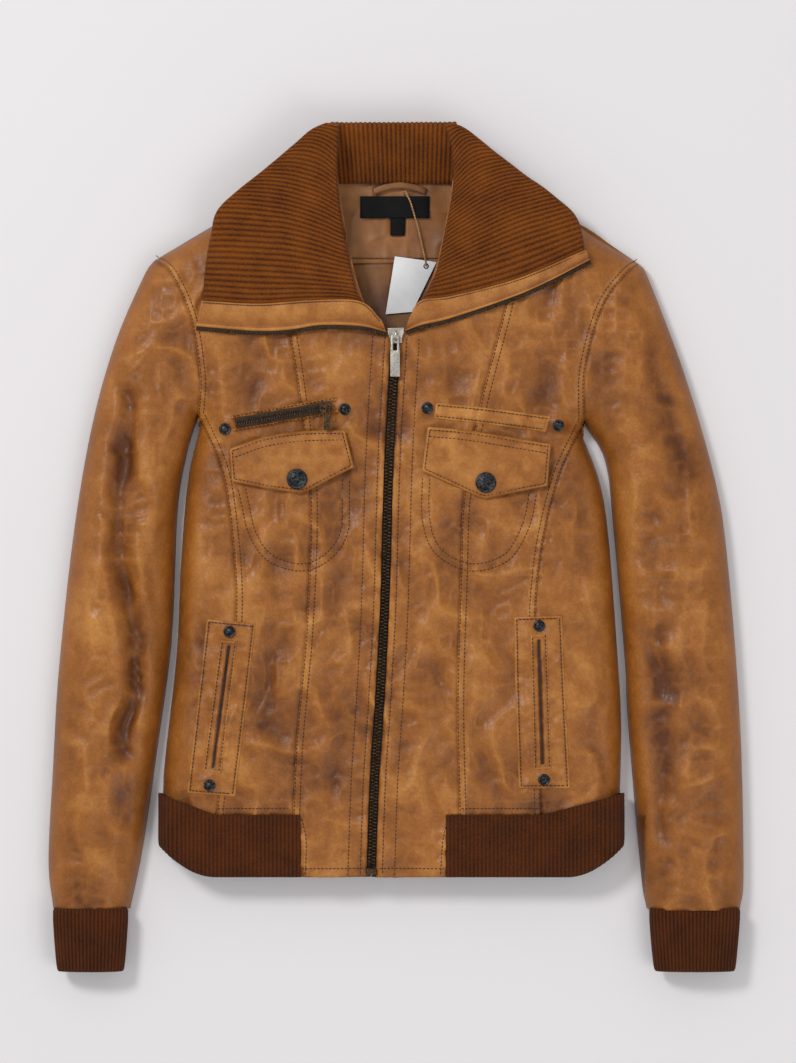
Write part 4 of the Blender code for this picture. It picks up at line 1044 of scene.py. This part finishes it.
def hand_pockets():
    for side in "rl":
        right_turned = [line.back() for line in FRAME_SIDES[side]]
        patch(f"hand_pocket_frame_{side}_leather", right_turned[1], right_turned[0],
              [f"hand_pocket_frame_{side}"], lift=1.5, rim=1.2)
        welts = [line.back() for line in WELT_SIDES[side]]
        patch(f"hand_pocket_welt_{side}_leather", welts[1], welts[0],
              [f"hand_pocket_welt_{side}", f"hand_pocket_bag_{side}"], lift=1.4, rim=1.0,
              slit=SLITS[side], gap=1.3)
        # The pocket lining seen down the slit, made in the dark zip-tape cloth: partly the real lining,
        # partly painted shade inside the opening.
        patch(f"hand_pocket_mouth_{side}", SLITS[side].beside(-1.3), SLITS[side].beside(1.3), [],
              lift=0.5, rim=0.5, gap=1.5, material=TAPE)


# ---------------------------------------------------------------- stitches

PITCH = 3.4
STITCH = 2.7  # the length of thread that shows
THREAD_THICK = 0.42
HEM_STITCH = -274.5  # the row along the foot of the front
ON_FRAME, ON_WELT = 1.65, 2.7  # the thread's height over the front, on a hand pocket
ON_FLAP = 40.0


def stitch_shape():
    """One stitch as rings of five points: it dives into the leather at both ends."""
    along = np.array([-0.5, -0.36, 0, 0.36, 0.5]) * STITCH
    thick = np.array([0.35, 0.85, 1.0, 0.85, 0.35]) * THREAD_THICK
    rise = np.array([-0.5, -0.05, 0.12, -0.05, -0.5])
    turn = np.arange(5) * 2 * np.pi / 5
    points = np.array([(x, t * np.cos(a), r + t * np.sin(a))
                       for x, t, r in zip(along, thick, rise) for a in turn])
    faces = []
    for k in range(4):
        for j in range(5):
            a, b = k * 5 + j, k * 5 + (j + 1) % 5
            faces.append((a, b, b + 5, a + 5))
    return points, np.array(faces)


def sew(name, rows, body="torso", pitch=PITCH, material=None, blend=None):
    """Rows of stitches; each row is a list of points x, y, z that its needle follows."""
    shape, faces = stitch_shape()
    points, quads_made, count = [], [], 0
    for row in rows:
        s = np.concatenate([[0], np.cumsum(np.linalg.norm(np.diff(row, axis=0), axis=1))])
        places = np.arange(pitch, s[-1] - pitch / 2, pitch)
        at = np.stack([np.interp(places, s, row[:, k]) for k in range(3)], -1)
        ahead = np.stack([np.interp(places + pitch / 2, s, row[:, k]) for k in range(3)], -1)
        x = ahead - at
        x /= np.linalg.norm(x, axis=1)[:, None]
        y = np.cross((0, 0, 1), x)
        y /= np.linalg.norm(y, axis=1)[:, None]
        z = np.cross(x, y)
        made = (at[:, None] + shape[:, :1] * x[:, None] + shape[:, 1:2] * y[:, None]
                + shape[:, 2:] * z[:, None])
        points.append(made.reshape(-1, 3))
        for k in range(len(places)):
            quads_made.append(faces + count)
            count += len(shape)
    mesh = mesh_of(name, np.concatenate(points), np.concatenate(quads_made))
    close_mesh(mesh)
    obj = finish_piece(name, mesh, material or THREAD, body)
    if blend:
        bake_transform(obj)
    return obj


def row_on(line, lift=0.15, height=None, step=2.0):
    p = line.every(step)
    z = relief(p) + lift if height is None else np.full(len(p), height)
    return np.column_stack([p, z])


def seam_stitches():
    rows = []
    for line, side, width in LAPS:
        for gap in (1.3, width - 0.9):
            rows.append(row_on(line.beside(side * gap)))
    sew("seam_stitching", rows)
    rows = [row_on(line, 0.2) for line in PLACKETS]
    for bag in POCKET_BAGS.values():
        rows += [row_on(bag), row_on(bag.beside(6.2))]
    for a, b in ((HEM_TURN_R.at(0.08), ZIP_EDGE_R.at(0.02)),
                 (ZIP_EDGE_L.at(0.02), HEM_TURN_L.at(0.08))):
        rows.append(row_on(Line([(a[0] + 1, HEM_STITCH), (b[0] - 1, HEM_STITCH)])))
    above_rib = HEM_LEVEL + 7
    for a, b in ((SIDE_FRONT_R.at(0)[0], HEM_TURN_R.at(1)[0]),
                 (HEM_TURN_L.at(1)[0], SIDE_FRONT_L.at(0)[0])):
        rows.append(row_on(Line([(a, above_rib), (b, above_rib)])))
    sew("front_stitching", rows)


def trim_stitches():
    rows = []
    for side in "rl":
        for line, turn in zip(FRAME_SIDES[side], (-1, 1)):
            rows.append(row_on(line.beside(turn * 2.6), ON_FRAME))
        for share in (0.017, 0.983):
            left, right = (line.at(share) for line in FRAME_SIDES[side])
            rows.append(row_on(Line([left + (2, 0), right - (2, 0)]), ON_FRAME))
        for line, turn in zip(WELT_SIDES[side], (-1, 1)):
            rows.append(row_on(line.beside(turn * 1.8), ON_WELT))
    rows += [row_on(WELT_TOP.beside(-2.4), 2.2), row_on(WELT_LOW.beside(2.4), 2.2),
             row_on(LIP_R.beside(6.2), 1.8), row_on(LIP_R.beside(-6.2), 1.8)]
    sew("pocket_stitching", rows)
    for side in "rl":
        start, end = FLAP_HINGE[side]
        ends = [Line([FLAP_LOW[side].at(end), FLAP_TOP[side].at(end)]).beside(turn * 2.4)
                for end, turn in ((0.0, -1), (1.0, 1))]
        rows = [row_on(line, height=ON_FLAP) for line in ends]
        rows += [row_on(FLAP_LOW[side].beside(2.6), height=ON_FLAP),
                 row_on(FLAP_TOP[side].beside(-2.6), height=ON_FLAP),
                 row_on(FLAP_TOP[side].beside(-8.4), height=ON_FLAP + 0.15)]
        sew(f"flap_stitching_{side}", rows, None, blend=("torso", FLAP_BODY[side], start, end))
        row = BAND_TOP[side].beside(-1.7 if side == "r" else 1.7)
        sew(f"band_stitching_{side}", [row_on(row, height=40.35)], COLLAR_BODY[side], 2.6)


# ---------------------------------------------------------------- metal, shaped as by hand


def deselect():
    if bpy.context.mode != "OBJECT":
        bpy.ops.object.mode_set(mode="OBJECT")
    bpy.ops.object.select_all(action="DESELECT")


def select_only(obj):
    deselect()
    obj.select_set(True)
    bpy.context.view_layer.objects.active = obj


def apply_modifier(obj, modifier):
    select_only(obj)
    bpy.ops.object.modifier_apply(modifier=modifier.name)


def pick(obj, test):
    """In edit mode, selects the faces of obj that pass the test and nothing else."""
    bpy.ops.object.mode_set(mode="EDIT")
    bpy.ops.mesh.select_mode(type="FACE")
    bpy.ops.mesh.select_all(action="DESELECT")
    bm = bmesh.from_edit_mesh(obj.data)
    for face in bm.faces:
        face.select_set(bool(test(face)))
    bmesh.update_edit_mesh(obj.data)


def settle(obj, name, material, body, replaced=(), angle=35):
    """Puts a finished piece's place into its mesh, smooths it and lets it ride."""
    select_only(obj)
    bpy.ops.object.transform_apply(location=True, rotation=True, scale=True)
    bpy.ops.object.shade_smooth_by_angle(angle=math.radians(angle))
    obj.name = obj.data.name = name
    obj.data.materials.clear()
    obj.data.materials.append(material)
    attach(obj, body)
    if replaced:
        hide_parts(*replaced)
    return obj


def bevelled(obj, width, segments=2, angle=40):
    modifier = obj.modifiers.new("round", "BEVEL")
    modifier.width, modifier.segments, modifier.limit_method = width * MM, segments, "ANGLE"
    modifier.angle_limit = math.radians(angle)
    apply_modifier(obj, modifier)


def middle_of(node):
    low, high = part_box(node)
    return (Vector(low) + Vector(high)) / 2, Vector(high) - Vector(low)


def button(name, node, body, material, steps, seed, hammered=0.0):
    """A round metal button on the node's place: a disc whose top is inset and raised step by step."""
    centre, size = middle_of(node)
    floor = centre.z - size.z / 2
    deselect()
    bpy.ops.mesh.primitive_cylinder_add(vertices=48, radius=size.x / 2, depth=0.0009,
                                        location=(centre.x, centre.y, floor + 0.00045))
    obj = bpy.context.object
    pick(obj, lambda face: face.normal.z > 0.9)
    for inward, rise in steps:
        bpy.ops.mesh.inset(thickness=inward * MM, depth=0)
        bpy.ops.transform.translate(value=(0, 0, rise * MM))
    bpy.ops.object.mode_set(mode="OBJECT")
    bevelled(obj, 0.18)
    if hammered:
        for v in obj.data.vertices:
            if v.co.z > 0.0008:
                v.co.z += hammered * MM * float(noise(v.co.x * 1000, v.co.y * 1000, 1.7, seed))
    settle(obj, name, material, body, [node], 50)


CAP_STEPS = [(0.5, 0.5), (0.7, 0.35), (0.5, -0.25), (0.35, -0.15), (0.5, 0.35), (0.9, 0.4), (1.1, 0.3),
             (1.3, 0.2), (1.3, 0.1), (0.9, 0.02)]
RIVET_STEPS = [(0.45, 0.35), (0.5, 0.2), (0.35, -0.3), (0.3, -0.1), (0.3, 0.5), (0.5, 0.5), (0.6, 0.3),
               (0.7, 0.15), (0.5, 0.05)]


def buttons():
    for side, body in (("r", "chest_flap_right"), ("l", "chest_flap_left")):
        button(f"snap_cap_{side}_metal", f"snap_cap_{side}", body, GUNMETAL, CAP_STEPS, 5,
               0.22)
    rivets = [f"chest_rivet_{side}_{place}" for side in "rl" for place in ("inner", "outer")]
    rivets += [f"hand_rivet_{side}_{place}" for side in "rl" for place in ("low", "top")]
    for node in rivets:
        button(f"{node}_metal", node, "torso", GUNMETAL, RIVET_STEPS, 6, 0.15)
    for node, material in (("snap_stud_r", GUNMETAL), ("snap_stud_l", GUNMETAL), ("zip_box", BRASS),
                           ("chest_pocket_bag_r", SATIN), ("chest_pocket_bag_l", SATIN)):
        bpy.data.objects[node].data.materials.clear()
        bpy.data.objects[node].data.materials.append(material)


def tooth_shape(length, width, height):
    """A zip tooth: a rounded bar with a narrower nose towards the other row."""
    deselect()
    bpy.ops.mesh.primitive_cube_add(size=1)
    obj = bpy.context.object
    obj.scale = (length, width, height)
    bpy.ops.object.transform_apply(location=False, rotation=False, scale=True)
    pick(obj, lambda face: face.normal.x > 0.9)
    bpy.ops.transform.resize(value=(1, 0.6, 0.7))
    bpy.ops.object.mode_set(mode="OBJECT")
    modifier = obj.modifiers.new("round", "BEVEL")
    modifier.width, modifier.segments = 0.16 * width, 1
    apply_modifier(obj, modifier)
    bm = bmesh.new()
    bm.from_mesh(obj.data)
    bmesh.ops.triangulate(bm, faces=bm.faces)
    points = np.array([v.co for v in bm.verts])
    faces = np.array([[v.index for v in f.verts] for f in bm.faces])
    bm.free()
    bpy.data.objects.remove(obj)
    return points, faces


def teeth(name, line, z, offset, pitch, size, body, replaced=(), one_side=0):
    """Two rows of teeth that mesh along a line, or the single row of an open zip."""
    shape, faces = tooth_shape(*size)
    points, made = [], []
    for row in ((-1, 1) if not one_side else (one_side,)):
        places = np.arange(pitch * (0.5 if row < 0 or one_side else 1.0), line.length - pitch / 2, pitch)
        at, ahead = line.at(places / line.length), line.at((places + 0.5) / line.length)
        run = ahead - at
        run /= np.linalg.norm(run, axis=1)[:, None]
        side = np.column_stack([-run[:, 1], run[:, 0]]) * row
        for p, s, r in zip(at + side * offset, side, run):
            x, y = -s, r
            made.append(faces + sum(map(len, points)))
            flat = p + shape[:, :1] * x + shape[:, 1:2] * y
            points.append(np.column_stack([flat, z + shape[:, 2]]))
    mesh = mesh_of(name, np.concatenate(points), np.concatenate(made))
    close_mesh(mesh)
    return finish_piece(name, mesh, BRASS, body, replaced, smooth=False)


def tape(name, line, near, far, z, body, replaced=(), step=2.5, thickness=0.7, under_leather=False):
    grid = ruled(line.beside(max(near, far)), line.beside(min(near, far)), step, 0.0)
    if under_leather:
        z = np.minimum(z, relief(grid.reshape(-1, 2)).reshape(grid.shape[:2]) - 1.9)
    z = z + 0.15 * noise(grid[..., 0], grid[..., 1], 7, 81)
    return finish_piece(name, skin(name, np.dstack([grid, z]), thickness), TAPE, body,
                        replaced)


def puller(name, node, body, material, turn, thickness, waist=0.78, window=0.30):
    """A pull tab: a bar with round corners and a window near its hinge end."""
    centre, size = middle_of(node)
    long, wide = PULLERS[node]
    deselect()
    bpy.ops.mesh.primitive_cube_add(size=1, location=(0, 0, 0))
    obj = bpy.context.object
    obj.scale = (wide * MM, long * MM, thickness * MM)
    bpy.ops.object.transform_apply(location=False, rotation=False, scale=True)
    bpy.ops.object.mode_set(mode="EDIT")
    bpy.ops.mesh.select_all(action="SELECT")
    bpy.ops.mesh.subdivide(number_cuts=1)
    bpy.ops.object.mode_set(mode="OBJECT")
    for v in obj.data.vertices:
        if v.co.y > 0.4 * long * MM:
            v.co.x *= waist
    cut_window(obj, wide * 0.42, long * window, long * (0.5 - window * 0.5) - wide * 0.28, thickness)
    bevelled(obj, min(0.45, thickness * 0.35), 3)
    obj.rotation_euler.z = turn
    obj.location = centre
    settle(obj, name, material, body, [node], 40)


PULLERS = {"zip_puller": (35.6, 8.4), "chest_zip_puller": (20.2, 5.4)}


def cut_window(obj, wide, long, up, thickness):
    deselect()
    bpy.ops.mesh.primitive_cube_add(size=1, location=(0, up * MM, 0))
    cutter = bpy.context.object
    cutter.scale = (wide * MM, long * MM, thickness * 3 * MM)
    bpy.ops.object.transform_apply(location=True, rotation=False, scale=True)
    modifier = obj.modifiers.new("window", "BOOLEAN")
    modifier.object = cutter
    apply_modifier(obj, modifier)
    bpy.data.objects.remove(cutter)


def slider(name, node, body, material, turn):
    """A zip slider: a waisted plate with raised rims and a bridge that holds the puller."""
    low, high = (Vector(corner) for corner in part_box(node))
    centre, size = (low + high) / 2, high - low
    deselect()
    bpy.ops.mesh.primitive_cube_add(size=1)
    obj = bpy.context.object
    obj.scale = (size.x * 0.86, size.y * 0.96, size.z * 0.42)
    bpy.ops.object.transform_apply(location=False, rotation=False, scale=True)
    bpy.ops.object.mode_set(mode="EDIT")
    bpy.ops.mesh.select_all(action="SELECT")
    bpy.ops.mesh.subdivide(number_cuts=2)
    bpy.ops.object.mode_set(mode="OBJECT")
    for v in obj.data.vertices:
        v.co.x *= 1.06 if v.co.y > 0 else 0.78
    pick(obj, lambda face: face.normal.z > 0.9)
    bpy.ops.mesh.inset(thickness=0.0011, depth=0)
    bpy.ops.transform.translate(value=(0, 0, -0.0003))
    bpy.ops.object.mode_set(mode="OBJECT")
    bevelled(obj, 0.3, 2)
    deselect()
    bpy.ops.mesh.primitive_torus_add(major_radius=size.y * 0.30, minor_radius=0.00075,
                                     major_segments=28, minor_segments=8,
                                     rotation=(0, math.pi / 2, 0), location=(0, 0, size.z * 0.12))
    bridge = bpy.context.object
    bridge.scale = (0.75, 1, 1.3)
    bpy.ops.object.transform_apply(location=True, rotation=True, scale=True)
    bpy.ops.object.mode_set(mode="EDIT")
    bpy.ops.mesh.select_all(action="SELECT")
    bpy.ops.mesh.bisect(plane_co=(0, 0, 0), plane_no=(0, 0, 1), use_fill=True, clear_inner=True)
    bpy.ops.object.mode_set(mode="OBJECT")
    obj.select_set(True)
    bpy.context.view_layer.objects.active = obj
    bpy.ops.object.join()
    obj.rotation_euler.z = turn
    obj.location = (centre.x, centre.y, low.z + size.z * 0.22)
    settle(obj, name, material, body, [node], 40)


def zips():
    slider_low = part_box("zip_slider")[0][1] / MM
    box_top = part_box("zip_box")[1][1] / MM
    tops = ZIP.p[:, 1]
    first, last = np.searchsorted(-tops, -slider_low), np.searchsorted(-tops, -box_top)
    run = Line(ZIP.p[first:last], smooth=False)
    teeth("front_zip_teeth", run, 35.1, 1.35, 2.9, (3.3, 1.45, 2.3), "torso", ["zip_chain"])
    tape("front_zip_tape_r", ZIP_UP, 0.25, 13.5, 32.6, "torso", ["zip_tape_r"], under_leather=True)
    tape("front_zip_tape_l", ZIP_UP, -0.25, -13.5, 32.6, "torso", ["zip_tape_l"], under_leather=True)
    chest = Line([(-138, 108), (-55, 122.6)])
    teeth("chest_zip_teeth", chest, 38.1, 0.95, 2.2, (2.3, 1.1, 1.5), "torso", ["chest_zip_chain"])
    tape("chest_zip_cloth", chest, 4.2, -4.2, 37.2, "torso", ["chest_zip_tape"], 1.5)
    slider("front_zip_slider", "zip_slider", "zip_slider_body", NICKEL, 0.03)
    puller("front_zip_pull", "zip_puller", "zip_puller_body", NICKEL, 0.0, 1.3)
    slider("chest_zip_runner", "chest_zip_slider", "chest_slider_body", BRASS,
           math.radians(100))
    puller("chest_zip_pull", "chest_zip_puller", "chest_puller_body", BRASS,
           PULL_LEAN, 1.3)
    for side, turn in (("r", 1), ("l", -1)):
        low = BAND_LOW[side]
        tape(f"collar_zip_tape_{side}", low, 0.3 * turn, -3.2 * turn, 37.5, COLLAR_BODY[side], [],
             2.0, 0.6)
        teeth(f"collar_zip_teeth_{side}", low.beside(-2.6 * turn), 37.6, 0.0, 2.4,
              (2.6, 1.3, 1.9), COLLAR_BODY[side], [], turn)


PULL_LEAN = math.radians(-3)


# ---------------------------------------------------------------- inside the neck


def cloth_sheet(name, grid, z, material, body, slot, replaced, thickness=0.7, **declared):
    mesh = skin(name, np.dstack([grid, z]), thickness)
    obj = finish_piece(name, mesh, material, body, replaced)
    return obj


def lining():
    left = Line([(-178, -203), (-168, -90), (-162, -9), (-148, 105), (-148, 180), (-138, 247)])
    right = Line([(170, -203), (168, -90), (160, -9), (140, 105), (148, 180), (138, 247)])
    grid = ruled(left, right, 3.0, 0.0)
    x, y = grid[..., 0], grid[..., 1]
    seam = np.exp(-np.clip(247 - y, 0, None) / 38)
    z = 4.9 + 0.7 * noise(x, y, 45, 82)
    z += seam * 1.7 * noise(x + 4 * noise(x, y, 30, 84), y * 0.08, 10, 83)
    cloth_sheet("back_lining_satin", grid, np.maximum(z, 4.0), SATIN, "torso", "satin_lining",
                ["back_lining"], held="laid", rests_on=["back_panel_leather"])
    left = Line([(-138, 247), (-102, 289), (-46, 334)])
    right = Line([(138, 247), (102, 289), (46, 334)])
    grid = ruled(left, right, 1.6, 0.0)
    z = facing_height(grid[..., 0], grid[..., 1])
    cloth_sheet("neck_facing_satin", grid, z, FACING, "torso", "satin_lining", ["neck_facing"],
                held="laid", rests_on=["back_panel_leather"])
    sew("facing_stitching", [np.column_stack([Line([(-50, 251.5), (50, 251.5)]).every(2),
                                              np.full(51, 6.7)])], pitch=2.8)


def facing_height(x, y):
    """The neck facing's own height."""
    seam = np.exp(-(((y - 248) / 5) ** 2)) + 0.8 * np.exp(-(((y - 318) / 12) ** 2))
    z = 5.3 + 0.9 * noise(x, y, 24, 85) + 0.6 * creased(x, y * 0.6, 14, 86)
    z += 0.5 * seam * noise(x, y * 0.2, 5, 87) + 0.6 * np.exp(-(((y - 249.5) / 1.2) ** 2))
    return np.clip(z, 4.0, 7.5)


def label_piece(name, corners, z, replaced, material, slot, wave=0.35):
    """A woven label with its ends folded under: left low, left high, right high, right low."""
    (a, b, c, d) = [np.array(p, float) for p in corners]
    grid = ruled(Line([a, b]), Line([d, c]), 1.5, 0.0)
    x, y = grid[..., 0], grid[..., 1]
    rows, cols = x.shape
    ends = np.minimum(np.arange(cols), np.arange(cols)[::-1]) / 2
    z = z + wave * noise(x, y, 11, 88) - 0.7 * np.exp(-(ends**2))[None]
    return cloth_sheet(name, grid, z, material, "torso", slot, replaced, 0.5, held="laid",
                       rests_on=["neck_facing_satin"])


def neck_trims():
    label_piece("neck_label_woven", [(-31, 286), (-31, 305), (29, 305), (29, 286)], 8.2,
                ["neck_label"], LABEL, "black_satin")
    label_piece("size_tab_woven", [(-5, 271), (-4.5, 287), (8, 287), (7.5, 271)], 7.9, [], LABEL,
                "black_satin")
    loop = Line([(-20, 309), (-12, 312), (-5, 313.5), (3, 314.5), (11, 313.5), (18, 312), (26, 309)])
    grid = ruled(loop.beside(-2.6), loop.beside(2.6), 1.5, 0.0)
    grid = grid.transpose(1, 0, 2)
    share = np.linspace(0, 1, grid.shape[1])
    z = np.broadcast_to(8.0 + 2.6 * np.sin(np.pi * share), grid.shape[:2]).copy()
    z += 0.3 * noise(grid[..., 0], grid[..., 1], 5, 89)
    finish_piece("hang_loop_satin", skin("hang_loop_satin", np.dstack([grid, z]), 0.6), SATIN,
                 "torso", ["hang_loop"])


STRING_ROUTE = [(8, 309.5, 6.4), (9.5, 306, 6.9), (12, 301, 7.0), (14, 295, 7.0), (16, 288, 6.9),
                (18, 281, 6.4), (20, 273, 6.0), (22, 264, 6.0), (24, 255, 6.0), (25.5, 249, 6.1),
                (26, 244.5, 6.2)]


def tag_and_string():
    route = np.array(STRING_ROUTE)
    ends = np.vstack([2 * route[0] - route[1], route, 2 * route[-1] - route[-2]])
    t = np.arange(1, 13)[:, None] / 12
    path = [route[:1]]
    for a, b, c, d in zip(ends, ends[1:], ends[2:], ends[3:]):
        path.append(0.5 * (2 * b + (c - a) * t + (2 * a - 5 * b + 4 * c - d) * t**2
                           + (3 * b - a - 3 * c + d) * t**3))
    path = np.vstack(path) + (0, 0, 3.2)
    s = np.concatenate([[0], np.cumsum(np.linalg.norm(np.diff(path, axis=0), axis=1))])
    run = np.gradient(path, axis=0)
    run /= np.linalg.norm(run, axis=1)[:, None]
    side = np.cross((0, 0, 1), run)
    side /= np.linalg.norm(side, axis=1)[:, None]
    up = np.cross(run, side)
    points, faces = [], []
    for strand in (0, np.pi):
        turn = s / 5.0 * 2 * np.pi + strand
        centre = path + 0.42 * (np.cos(turn)[:, None] * side + np.sin(turn)[:, None] * up)
        first = sum(map(len, points))
        ring = np.arange(8) * np.pi / 4
        tube = centre[:, None] + 0.45 * (np.cos(ring)[None, :, None] * side[:, None]
                                         + np.sin(ring)[None, :, None] * up[:, None])
        points.append(tube.reshape(-1, 3))
        i, j = np.meshgrid(np.arange(len(s) - 1), np.arange(8), indexing="ij")
        a, b = first + (i * 8 + j).ravel(), first + (i * 8 + (j + 1) % 8).ravel()
        faces.append(np.column_stack([a, b, b + 8, a + 8]))
    mesh = mesh_of("tag_string_twist", np.concatenate(points), np.concatenate(faces))
    close_mesh(mesh)
    cord = finish_piece("tag_string_twist", mesh, STRING, "torso", ["tag_string"])
    corners = [(-9, 203), (-1, 253), (35, 248), (14, 205)]
    a, b, c, d = (np.array(p, float) for p in corners)
    grid = ruled(Line([a, b]), Line([d, c]), 2.0, 0.0)
    z = 7.6 + 0.02 * (grid[..., 1] - 203) + 0.25 * noise(grid[..., 0], grid[..., 1], 25, 93)
    tag = finish_piece("hang_tag_card", skin("hang_tag_card", np.dstack([grid, z]), 0.45), CARD,
                       "tag", ["hang_tag"], smooth=False)
    deselect()
    bpy.ops.mesh.primitive_torus_add(major_radius=0.0019, minor_radius=0.0005, major_segments=24,
                                     minor_segments=8, location=(0.026, 0.2445, 0.0087))
    settle(bpy.context.object, "tag_eyelet", GUNMETAL, "tag")


# ---------------------------------------------------------------- the whole jacket


def backdrop():
    """A plain sheet of pale paper, just under the jacket."""
    deselect()
    bpy.ops.mesh.primitive_plane_add(size=6, location=(0, 0, -0.0004))
    paper = bpy.context.object
    paper.name = "backdrop"
    paper.data.materials.append(FLOOR)


look()
studio()
tag_and_string()
torso_front()
sleeves()
torso_back()
hem_rib()
cuffs()
collar()
chest_patches()
hand_pockets()
seam_stitches()
trim_stitches()
buttons()
zips()
lining()
neck_trims()
backdrop()
